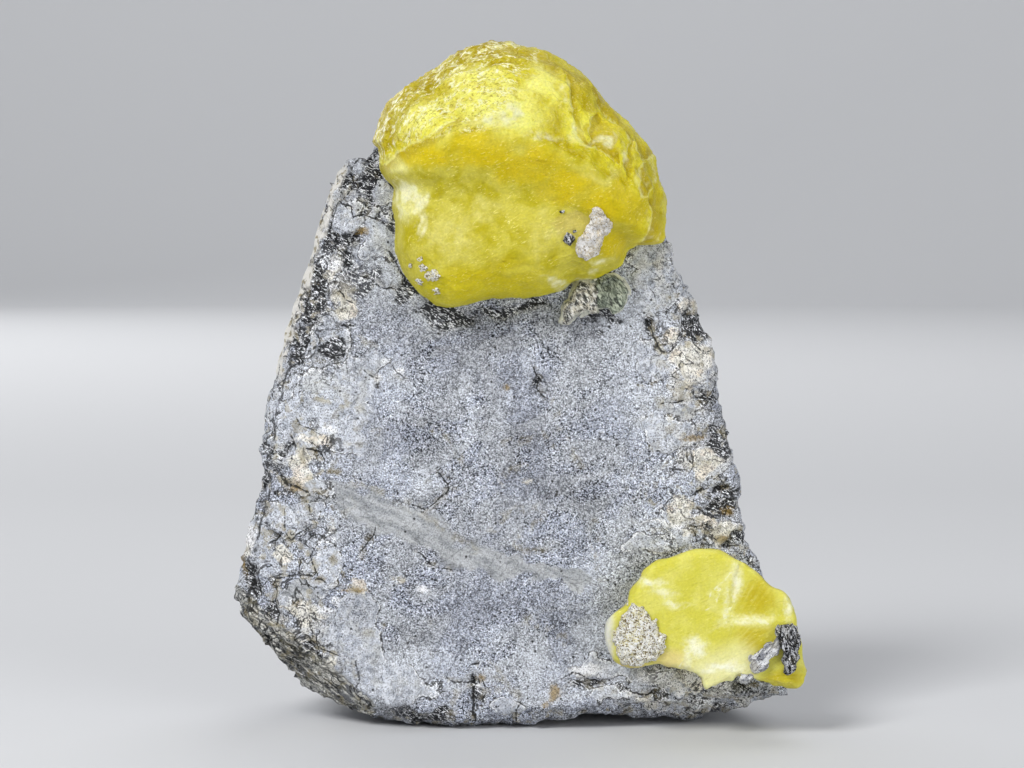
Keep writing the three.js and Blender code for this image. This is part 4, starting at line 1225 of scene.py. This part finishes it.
# %% Large nodule finish
def large_clouds(f):
    """Amber below the lip, lemon on the dome, milk where it cleaves, painted olive shade along the dome's
    upper rim, and bright strokes along the growth layers that are painted highlights."""
    cloudy = f.noise(1.3, 6)
    mottle = f.noise(2.6, 6, distortion=0.6).window(0.36, 0.64)
    grown = mottle.tones((198, 180, 4), (226, 214, 44))
    worn = mottle.tones((188, 176, 26), (206, 196, 74))
    broken = f.field("broken")
    amber = f.field("amber") * f.noise(4, 5).window(0.2, 0.6, 0.5, 1)
    colour = broken.tones(grown, worn).coats(
        (f.field("bright") * cloudy.window(0.24, 0.5), (254, 250, 130)),
        (amber * 0.85, (222, 198, 2)),
        (f.field("painted_rim_shade") * 0.6, (160, 138, 4)),
        (f.field("pale_face") * cloudy.window(0.3, 0.6, 0.3, 0.8), (218, 210, 114)),
        (f.field("deep") * 0.8, (208, 188, 0)),
        (f.field("lit_edge") * 0.55, (238, 226, 40)),
    )

    # Growth layers: the bright strokes are painted highlights, and the dark gaps painted shade.
    along_rim = f.put("CombineXYZ", {0: f.field("round"), 1: f.field("inward"), 2: f.field("front")})
    along_rim = f.stretched(2.6, 1, 2, place=along_rim)
    layers = f.noise(0.2, 4, along_rim, 0.8)
    clusters = f.noise(0.7, 4, along_rim, 0.5)
    grown_share = 1.0 - broken
    crinkled_painted_shading_share = f.field("upper_left").window(0, 0.7, 0.1, 1) * grown_share
    strokes = layers.window(0.5, 0.58) * clusters.window(0.44, 0.58)
    colour = colour.coats(
        (clusters.window(0.52, 0.62) * crinkled_painted_shading_share * 0.6, (248, 243, 156)),
        (strokes * crinkled_painted_shading_share * 0.9, (255, 253, 214)),
        (layers.window(0.45, 0.37) * crinkled_painted_shading_share * 0.6, (150, 126, 0)),
    )

    # Milk, haze that is partly painted light below the lip's left end, the edges of the flakes with a
    # painted shadow beyond and a painted glow before them, and a tan spot.
    soft_edge = (f.noise(0.8, 5) - 0.5) * 1.6
    milk = (f.field("milk") + soft_edge).window(-0.4, 0.7)
    haze_and_painted_light = f.field("haze_and_painted_light") * cloudy.window(0.3, 0.6, 0.5, 1)
    near, side = f.field("edge_near"), f.field("edge_side")
    beyond = near.window(1.9, 0.1) * side.window(-0.5, -2) * cloudy.window(0.3, 0.5, 0.2, 0.6)
    glow = near.window(1.8, 0.1) * side.window(0, 1.5) * cloudy.window(0.36, 0.56, 0.1, 0.6)
    tan = (f.field("tan") + soft_edge).window(-0.3, 0.4)
    colour = colour.coats(
        (haze_and_painted_light * 0.8, (246, 243, 160)),
        (milk * 0.8, (250, 248, 204)),
        (beyond, (180, 155, 0)),
        (glow, (240, 231, 56)),
        (fine_line(f, 0.7, 0.3) * 0.55, (250, 246, 150)),
        (tan * 0.45, (198, 180, 112)),
    )
    return colour, broken, layers * grown_share * 0.3


large_finish = brucite_finish("waxy_yellow_large", large_clouds, 0.5)
make_piece("large_nodule", large_points, large_quads, large_finish, "large_brucite", large_fields)

# %% [markdown]
# ## The small nodule
# It was broken straight across, so its front is a flat cut through a dome, with steep sides. The large
# nodule's rounded meeting of two surfaces serves again, with a much squarer dome. Cleavage divides the
# cut into sectors that fan out from the lower edge.

# %% Small nodule outline
SMALL_BRUCITE = {
    "x": 24, "y": 1.5, "z": 14.5, "front": 8.2, "back": 5, "square": 5,
    "outline": [
        (24.8, 24), (22, 23.8), (20, 23.2), (17.5, 22.3), (16.3, 21.5), (15.6, 20.3), (14.4, 18.7),
        (13.6, 16.8), (12, 15.8), (11.1, 14.8), (10.8, 13), (11.2, 11), (12.2, 9.6), (13.6, 8.7),
        (15, 8.5), (16.4, 8.9), (18, 9), (20, 8.6), (22, 8.2), (23.4, 7.2), (24.2, 6), (26.5, 6.6),
        (28.3, 7.4), (30, 7.1), (32.4, 6.6), (34.8, 6.2), (36.2, 6.3), (36.8, 7.6), (36.7, 9.6),
        (36.4, 11.6), (35.9, 14.2), (35.2, 16.6), (34.5, 18.1), (33, 18.9), (31.4, 20.3), (29.3, 22.2),
        (27.2, 23.3),
    ],
}
SMALL_CELLS = (120, 40, 120)
RIM_SQUARE = 11
CUT_DEPTH = -6.3


def small_front(x, z):
    """A nearly flat cut through the dome; the right-hand sector lies a little deeper."""
    cut = CUT_DEPTH - 0.0012 * ((x - 23) ** 2 + (z - 14) ** 2)
    sector = 0.4 * smooth((x - 26.4 - 0.25 * (z - 16)) / 0.5) * smooth((z - 14.6) / 0.8)
    return soft_maximum(dome_front(SMALL_BRUCITE | {"square": RIM_SQUARE}, x, z), cut + sector, 0.4)


x, y, z, forward, across, small_quads = skin_of(SMALL_BRUCITE, SMALL_CELLS, small_front)
narrowing = (1.01 - 0.0035 * np.clip(y + 6, 0, 8) ** 2) * (1 - 0.4 * smooth((y + 1) / 3))
x = SMALL_BRUCITE["x"] + (x - SMALL_BRUCITE["x"]) * narrowing
z = SMALL_BRUCITE["z"] + (z - SMALL_BRUCITE["z"]) * narrowing - 0.12 * np.minimum(y, 0)
small_base = np.stack([x, y, z], 1)
print("small nodule's width, depth and height in mm:", np.ptp(small_base, axis=0).round(1))

# %% Small nodule relief
# Cleavages that show as pale lines on the cut: half width, then points.
CLEAVAGES = [
    (0.2, [(28.2, 22.5), (28.5, 21.2), (28.2, 19.6), (27.3, 17.8), (26.7, 16.6), (26.3, 15.4)]),
    (0.14, [(27.6, 22), (26.4, 20.6), (25, 19.2), (24, 17.7), (23.5, 16.4)]),
    (0.12, [(26, 19.4), (25.5, 18.3), (25.3, 17.2)]),
    (0.26, [(16, 20.6), (17.6, 19.8), (18.9, 18.6), (20.3, 17.3)]),
    (0.16, [(26.8, 16.1), (28.2, 15.6), (29.6, 15.7), (31.7, 15.2)]),
    (0.1, [(22.3, 10.2), (22.7, 11.4), (23.2, 13.2)]),
    (0.1, [(20.8, 9.6), (21.8, 11), (22.9, 12.1), (24.2, 12.4)]),
]
MILK_ON_SMALL = [
    (27.9, 20.5, 0.7, 1.8), (26.6, 18, 0.2, 1.2), (17, 20.3, 1, 0.25), (18.9, 19.1, 0.9, 0.3),
    (20.4, 17.5, 0.7, 0.2), (22.9, 12.1, 1.2, 1.2), (26.4, 9.6, 2, 0.7), (29.4, 15.6, 1.9, 0.35),
    (34.8, 17, 0.4, 1.2), (24.6, 9, 0.8, 0.4), (21.4, 10.6, 0.3, 1),
]
DEEP_ON_SMALL = [(30.8, 18.2, 3, 2.6), (30.4, 13.4, 3, 1.8), (34.6, 7.8, 3, 1.8)]
PEACH_ZONES = [(19.5, 10.4, 2.6, 1.6), (14.4, 9.4, 3, 1)]
ROOT_X, ROOT_Z = 23.5, 8
fan = np.arctan2(z - ROOT_Z, x - ROOT_X)
from_root = np.hypot(x - ROOT_X, z - ROOT_Z)
striae = noise(26 * fan, np.zeros_like(x), from_root / 4)
cleavage_side, cleavage_near, _ = line_fields(
    x + 0.35 * roughness(x, 5.0, z, 1.6, 2), z + 0.35 * roughness(x, 45.0, z, 1.6, 2), CLEAVAGES
)
small_relief = (
    0.07 * roughness(x, y, z, 6, 2)
    + 0.22 * roughness(x, y, z, 2.4, 2) * smooth((across - 0.93) / 0.06)
    + 0.3 * roughness(x, y, z, 1.1, 2) * smooth((across - 0.9) / 0.08) * smooth((10 - z) / 2)
    + 0.03 * striae * smooth((across - 0.6) / 0.3) * smooth((x - 27) / 2)
    + 0.03 * facets(x, y, z, 1.0, 2)
    + 0.05 * np.exp(-((cleavage_near / 0.35) ** 2)) * smooth(forward * 6)
)
small_points = small_base + small_relief[:, None] * normals(small_base, small_quads)
small_fields = {
    "milk": inside_ovals(*ragged(x, z, 0.5), MILK_ON_SMALL),
    "deep": zone_share(*ragged(x, z, 0.8), DEEP_ON_SMALL),
    "low": smooth((13 - z + 0.3 * (x - 24)) / 4) * smooth((31.5 - x) / 2),
    "peach": zone_share(x, z, PEACH_ZONES),
    "left_rim": smooth((12.6 - x) / 1.2),
    "edge_side": cleavage_side,
    "edge_near": cleavage_near,
    "fan": 12 * fan,
    "from_root": from_root,
    "side": smooth((y + 5.6) / 0.8) * smooth(forward * 40 + 0.5),
}
print("small nodule's fields:", *small_fields)

# %% [markdown]
# ## The small nodule's clouds
# It is paler than the large one, palest at its lower edge, with deeper sectors on the right. Fine rays
# fan out from its root: their noise reads the angle and the distance from there.

# %% Small nodule finish
def small_clouds(f):
    """Even lemon, deeper sectors on the right, a pale lower part, fine rays fanning out from the root,
    and white along cleavages and left rim."""
    mottle = f.noise(2.6, 6).window(0.36, 0.64)
    from_root = f.put("CombineXYZ", {0: f.field("fan"), 1: f.field("from_root")})
    rays = f.noise(0.5, 4, f.stretched(1, 8, 1, place=from_root))
    deep = f.field("deep") * rays.window(0.35, 0.6, 1.0, 0.72)
    faint = rays.window(0.52, 0.66) * f.noise(4, 2).window(0.4, 0.7, 0.03, 0.2)
    soft_edge = (f.noise(0.5, 5) - 0.5) * 1.2
    milk = (f.field("milk") + soft_edge).window(-0.6, 0.8) * f.noise(0.3, 3).window(0.3, 0.5, 0.7, 1)
    halo = f.field("edge_near").window(0.9, 0.1, 0, 0.4) * f.noise(1.1, 5).window(0.3, 0.6)
    colour = mottle.tones((215, 209, 78), (224, 219, 106)).coats(
        (f.field("low") * 0.85, (241, 238, 178)),
        (f.field("peach") * 0.6, (232, 210, 152)),
        (deep * 0.85, (196, 176, 4)),
        (faint, (240, 237, 150)),
        (milk * 0.85, (254, 254, 234)),
        (halo, (240, 238, 170)),
        (fine_line(f, 0.5, 0.4) * 0.5, (250, 249, 222)),
        (f.field("side") * 0.5, (190, 172, 30)),
        (f.field("left_rim") * 0.85, (226, 226, 220)),
    )
    return colour, mottle.window(0, 1, 0.6, 0.9), rays * 0.06


small_finish = brucite_finish("waxy_yellow_small", small_clouds, 0.3)
make_piece("small_nodule", small_points, small_quads, small_finish, "small_brucite", small_fields)

# %% [markdown]
# ## Scraps of the opposite wall
# When the vein was split open, crumbs of its other wall stayed on the nodules. Painted on, they would
# cast no shadow. Each is a thin lens half sunk in what it lies on, with a crumbly surface of its own.
# The flake under the large nodule's right end is a pair of such lenses on the slab: a wedge and a leaf.

# %% Scrap shapes
SERPENTINE_FLAKE = [
    {
        "x": 7.6, "z": 56.4, "thick": 2.8, "square": 3,
        "outline": [
            (5, 53.7), (5.3, 55), (6.3, 56.8), (7.2, 59), (8, 59.8), (9.2, 59.3), (10.2, 59), (10.6, 57.4),
            (10.2, 55.6), (10.3, 54.9), (8.7, 55), (7.3, 54.5), (6.3, 53.4), (5.5, 53.3),
        ],
    },
    {
        "x": 11.8, "z": 57.5, "thick": 2.2, "square": 4,
        "outline": [
            (9.6, 59.2), (10.8, 60.1), (12.5, 60.1), (13.7, 58.9), (14.1, 57.3), (13.5, 55.7), (12.4, 54.9),
            (11.4, 55.6), (10, 56), (9.4, 57.4),
        ],
    },
]
LARGE_CRUST = {
    "x": 9.3, "z": 65.2, "thick": 0.9, "square": 3,
    "outline": [
        (9.7, 68.8), (10.8, 68.2), (11.5, 67), (11.2, 65.8), (10.5, 64.8), (10, 63.2), (9.2, 62.2),
        (8.2, 62), (7.3, 62.8), (7, 63.8), (7.7, 64.9), (8.2, 66), (8.9, 67.2), (9.2, 68.2),
    ],
}
SMALL_CRUST = {
    "x": 15, "z": 13, "thick": 1.2, "square": 3,
    "outline": [
        (14.2, 18), (15.3, 17.4), (16.3, 16.5), (17.5, 15.5), (17.7, 14.4), (18.6, 13.2), (18.7, 12),
        (18, 10.7), (16.8, 10.2), (15.4, 9.8), (14, 9.9), (12.7, 10.8), (12.2, 12.3), (12.3, 14.2),
        (13.3, 15.7),
    ],
}
PALE_CHIP = {
    "x": 31.8, "z": 11.1, "thick": 1.1, "square": 3,
    "outline": [
        (29.7, 9.8), (29.5, 10.6), (30.9, 11.5), (32.6, 12.7), (33.5, 13.6), (34.1, 12.9), (33.7, 11.8),
        (32.3, 10.4), (31, 8.9), (30.1, 8.8),
    ],
}
DARK_CHIP = {
    "x": 34.9, "z": 12.2, "thick": 1.6, "square": 3,
    "outline": [
        (33.2, 14.5), (34, 15), (35.6, 14.7), (36.1, 13.9), (36.1, 12.1), (36, 10.4), (35.3, 8.9),
        (34.7, 8.2), (34.1, 8.6), (34, 10), (33.9, 11.5), (33.5, 13), (33.1, 13.7),
    ],
}


def oval(x, z, half_x, half_z, thick):
    """A lump whose outline is eight points of an ellipse."""
    turns = np.arange(8) * np.pi / 4
    outline = np.stack([x + half_x * np.cos(turns), z + half_z * np.sin(turns)], 1)
    return {"x": x, "z": z, "thick": thick, "square": 2.5, "outline": outline}


DARK_GRAINS = [
    oval(6.2, 64.8, 0.7, 0.75, 0.5), oval(5.3, 68.3, 0.4, 0.22, 0.3), oval(6.9, 65.7, 0.3, 0.2, 0.3),
]
WHITE_FLECKS = [
    oval(-11.3, 60.1, 1.05, 0.85, 0.55), oval(-12.4, 61, 0.6, 0.55, 0.45),
    oval(-12.8, 62.2, 0.45, 0.45, 0.4), oval(-14.1, 61.4, 0.35, 0.3, 0.35),
    oval(-13, 59.2, 0.75, 0.42, 0.4), oval(-10.9, 58, 0.7, 0.48, 0.4),
]
PALE_CHIPS = [PALE_CHIP, oval(29.2, 7.8, 0.8, 0.8, 0.5)]
print(len(DARK_GRAINS), "dark grains and", len(WHITE_FLECKS), "white flecks on the large nodule")

# %% Scrap maker
def scrap(lumps, surface, cells_across, crumble, size, angular):
    """Lenses on a surface: the surface's depth less the thickness times how far forward each point of a
    lump points, with an edge made uneven by noise, and a face by facets and noise."""
    skin, skin_quads = box_skin(cells_across, cells_across // 4, cells_across)
    points, quads = [], []
    for n, lump in enumerate(lumps):
        x, z, forward, _ = spread(lump, skin)
        x = x + crumble * roughness(x, 3.0, z, size, 3)
        z = z + crumble * roughness(x, 33.0, z, size, 3)
        base = np.stack([x, surface(x, z) - lump["thick"] * forward, z], 1)
        relief = angular * facets(*base.T, size, 2.2) + 0.5 * crumble * roughness(*base.T, size / 2, 2)
        points.append(base + relief[:, None] * normals(base, skin_quads))
        quads.append(skin_quads + n * len(skin))
    return np.concatenate(points), np.concatenate(quads)


def crumb_finish(name, low, high, dark, dark_share, stain, grainy, drawn_out, turn):
    """Crumbly rock: two tones by noise, grains and strokes dark up to a share of them, and a stain. The
    strokes are drawn out so many times, along a line turned by an angle."""
    f = Finish(name)
    place = f.stretched(drawn_out, 1, 1, turn)
    strokes = (f.grains(0.15)[0] - 0.5) * grainy + f.noise(0.32, 5, place, 1.2)
    colour = f.noise(0.45, 4, place, 0.5).window(0.42, 0.58).tones(low, high).coats(
        (f.noise(1.4, 4).window(0.5, 0.62) * 0.5, stain),
        (strokes.window(0.23 + dark_share, 0.17 + dark_share), dark),
        (strokes.window(0.63, 0.71, 0, 0.9), (252, 252, 252)),
    )
    height = strokes * 0.2 + f.noise(0.7, 4) * 0.2
    return f.wear(colour, 0.7, height, Specular_IOR_Level=0.3)


def flake_finish():
    """A tan-grey wedge on the left and a grey-green leaf on the right, both with pale edges."""
    f = Finish("green_grey_flake")
    mottle = f.noise(0.9, 4)
    strokes = f.noise(0.28, 3, f.stretched(2.5, 1, 1, 0.9), 1.0)
    wedge = mottle.window(0.42, 0.58).tones((84, 84, 80), (206, 200, 182)).coats(
        (strokes.window(0.54, 0.58, 0, 0.9), (242, 241, 234)),
    )
    leaf = mottle.window(0.36, 0.64).tones((104, 114, 98), (160, 168, 148)).coats(
        (strokes.window(0.54, 0.62, 0, 0.75), (212, 218, 198)),
    )
    edge = f.field("edge").window(0.86, 0.93) * mottle.window(0.36, 0.44, 0.2, 0.8)
    colour = f.field("leaf").tones(wedge, leaf).coats(
        (strokes.window(0.45, 0.41, 0, 0.85), (30, 32, 28)),
        (edge, (238, 238, 224)),
    )
    return f.wear(colour, 0.55, strokes * 0.2, Specular_IOR_Level=0.4)


# %% Scraps
crust = crumb_finish(
    "pale_crust", low=(222, 217, 194), high=(255, 254, 246), dark=(116, 100, 60), dark_share=0.095,
    stain=(226, 212, 126), grainy=0.7, drawn_out=1.3, turn=0.6,
)
film = crumb_finish(
    "pinkish_crust", low=(210, 203, 190), high=(246, 243, 239), dark=(140, 126, 104), dark_share=0.08,
    stain=(222, 204, 164), grainy=0.5, drawn_out=1.5, turn=0.6,
)
dark_chip = crumb_finish(
    "dark_chip", low=(22, 23, 27), high=(198, 200, 206), dark=(1, 1, 2), dark_share=0.24,
    stain=(110, 106, 92), grainy=0.3, drawn_out=4, turn=1.3,
)
pale_chip = crumb_finish(
    "pale_chip", low=(140, 142, 150), high=(236, 237, 240), dark=(24, 24, 28), dark_share=0.14,
    stain=(170, 164, 146), grainy=0.3, drawn_out=4, turn=-0.75,
)


DEEPEST_CRUMB = -5.4


def small_cut(x, z):
    """The small nodule's front, no deeper than this, so that nothing on it hangs down its side."""
    return np.minimum(small_front(x, z), DEEPEST_CRUMB)


# Piece, its shape, its finish, the node it stands for, and its slot.
SCRAPS = [
    ("crust_on_large", scrap([LARGE_CRUST], large_front, 44, 0.3, 1.0, 0.12), film, "large_crust", "crust"),
    ("crust_on_small", scrap([SMALL_CRUST], small_cut, 64, 0.4, 0.9, 0.1), crust, "small_crust", "crust"),
    ("pale_chip", scrap(PALE_CHIPS, small_cut, 36, 0.16, 1.2, 0.2), pale_chip, "right_chip", "rock"),
    ("dark_chip", scrap([DARK_CHIP], small_cut, 44, 0.16, 1.2, 0.24), dark_chip, "right_chip", "rock"),
    ("grains", scrap(DARK_GRAINS, large_front, 16, 0.1, 0.5, 0.08), dark_chip, "dark_chip", "rock"),
    ("fleck_on_large", scrap(WHITE_FLECKS, large_front, 16, 0.12, 0.5, 0.08), crust, "white_fleck", "crust"),
]
for name, (points, quads), finish, node, slot in SCRAPS:
    make_piece(name, points, quads, finish, node)

# %% Flake
FLAKE_CELLS = 64
flake_points, flake_quads = scrap(SERPENTINE_FLAKE, slab_front, FLAKE_CELLS, 0.22, 2.0, 0.3)
flake_skin, _ = box_skin(FLAKE_CELLS, FLAKE_CELLS // 4, FLAKE_CELLS)
wedge_across = spread(SERPENTINE_FLAKE[0], flake_skin)[3]
flake_fields = {"leaf": np.repeat([0.0, 1.0], len(flake_skin)), "edge": np.tile(wedge_across, 2)}
flake = flake_finish()
make_piece("flake", flake_points, flake_quads, flake, "serpentine_flake", flake_fields)

# %% [markdown]
# ## The studio
# A pale round dish stands in for floor and backdrop, so that every view has the same plain ground. A
# flat plane would end at a horizon. One soft light from the upper left shapes the relief, and a wider
# one further off on the right opens the shadows. Three more light the backdrop, the nodules' thin rims
# and the rock's back.

# %% Stage
DISH_FLAT_RADIUS = 1.3
DISH_CORNER = 0.6
DISH_SPOKES = 96
FLAT_RINGS = 12


def dish():
    """A profile carried round the vertical axis: flat floor, then a quarter-round edge."""
    corner = np.linspace(0, np.pi / 2, 17)
    flat = np.linspace(0.02, DISH_FLAT_RADIUS, FLAT_RINGS)
    radius = np.concatenate([flat, DISH_FLAT_RADIUS + DISH_CORNER * np.sin(corner)])
    height = np.concatenate([np.zeros(FLAT_RINGS), DISH_CORNER * (1 - np.cos(corner))])
    turn = np.linspace(0, 2 * np.pi, DISH_SPOKES + 1)[:-1]
    x, y = np.outer(radius, np.cos(turn)), np.outer(radius, np.sin(turn))
    points = np.stack([x, y, np.outer(height, np.ones(DISH_SPOKES))], -1)
    n = np.arange(radius.size * DISH_SPOKES).reshape(-1, DISH_SPOKES)
    right = np.roll(n, -1, axis=1)
    quads = np.stack([n[:-1], right[:-1], right[1:], n[1:]], -1).reshape(-1, 4)[:, ::-1]
    return points.reshape(-1, 3), quads, n[0]


dish_points, dish_quads, dish_middle = dish()
dish_mesh = bpy.data.meshes.new("pale_dish")
dish_mesh.from_pydata(dish_points.tolist(), [], [*dish_quads.tolist(), dish_middle.tolist()])
dish_mesh.polygons.foreach_set("use_smooth", np.ones(len(dish_mesh.polygons), bool))
dish_finish = bpy.data.materials.new("pale_floor")
dish_finish.use_nodes = True
dish_shader = dish_finish.node_tree.nodes["Principled BSDF"]
dish_shader.inputs["Base Color"].default_value = paint(214, 215, 217)
dish_shader.inputs["Roughness"].default_value = 0.8
dish_mesh.materials.append(dish_finish)
floor = bpy.data.objects.new("pale_dish", dish_mesh)
bpy.context.scene.collection.objects.link(floor)
print("dish", 2 * (DISH_FLAT_RADIUS + DISH_CORNER), "m across")


# %% Lights
def soft_light(name, place, aim, width, power):
    """A square lamp of a width in metres and a power in watts, turned to face a point."""
    light = bpy.data.lights.new(name, "AREA")
    light.size = width
    light.energy = power
    lamp = bpy.data.objects.new(name, light)
    lamp.location = place
    lamp.rotation_euler = (Vector(aim) - Vector(place)).to_track_quat("-Z", "Y").to_euler()
    bpy.context.scene.collection.objects.link(lamp)
    print(name, "light of", power, "W")


DISH_EDGE = (0, DISH_FLAT_RADIUS + DISH_CORNER, 0.5)
SKY_COLOUR = (0.9, 0.93, 1, 1)
SKY_STRENGTH = 0.22
middle = (packed_box[0] + packed_box[1]) / 2
soft_light("key", (-0.42, -0.55, 0.62), middle, 0.3, 5.8)
soft_light("fill", (0.9, -0.9, 0.26), middle, 0.82, 7.6)
soft_light("backdrop", (0, 0.7, 1.0), DISH_EDGE, 0.8, 7)
soft_light("rim", (0.15, 0.35, 0.7), middle, 0.5, 1.4)
soft_light("back", (-0.6, 0.9, 0.5), middle, 0.7, 3.5)
world = bpy.data.worlds.new("studio")
world.use_nodes = True
world.node_tree.nodes["Background"].inputs["Color"].default_value = SKY_COLOUR
world.node_tree.nodes["Background"].inputs["Strength"].default_value = SKY_STRENGTH
bpy.context.scene.world = world
bpy.context.scene.view_settings.view_transform = "Standard"

# %% [markdown]
# ## The camera
# A long lens from 39 cm away keeps the slab's edges nearly parallel. It looks down by four degrees,
# just enough to show the floor under the specimen.

# %% Camera
CAMERA_LENS = 105
CAMERA_DISTANCE = 0.39
CAMERA_ELEVATION = math.radians(4)
CAMERA_AIM = Vector((-0.00104, layout_shift * MM, 0.0457))
camera = bpy.data.objects.new("camera", bpy.data.cameras.new("camera"))
camera.data.lens = CAMERA_LENS
back = Vector((0, -math.cos(CAMERA_ELEVATION), math.sin(CAMERA_ELEVATION)))
camera.location = CAMERA_AIM + back * CAMERA_DISTANCE
camera.rotation_euler = (-back).to_track_quat("-Z", "Y").to_euler()
bpy.context.scene.collection.objects.link(camera)
bpy.context.scene.camera = camera
print("camera in mm", [round(v / MM) for v in camera.location])
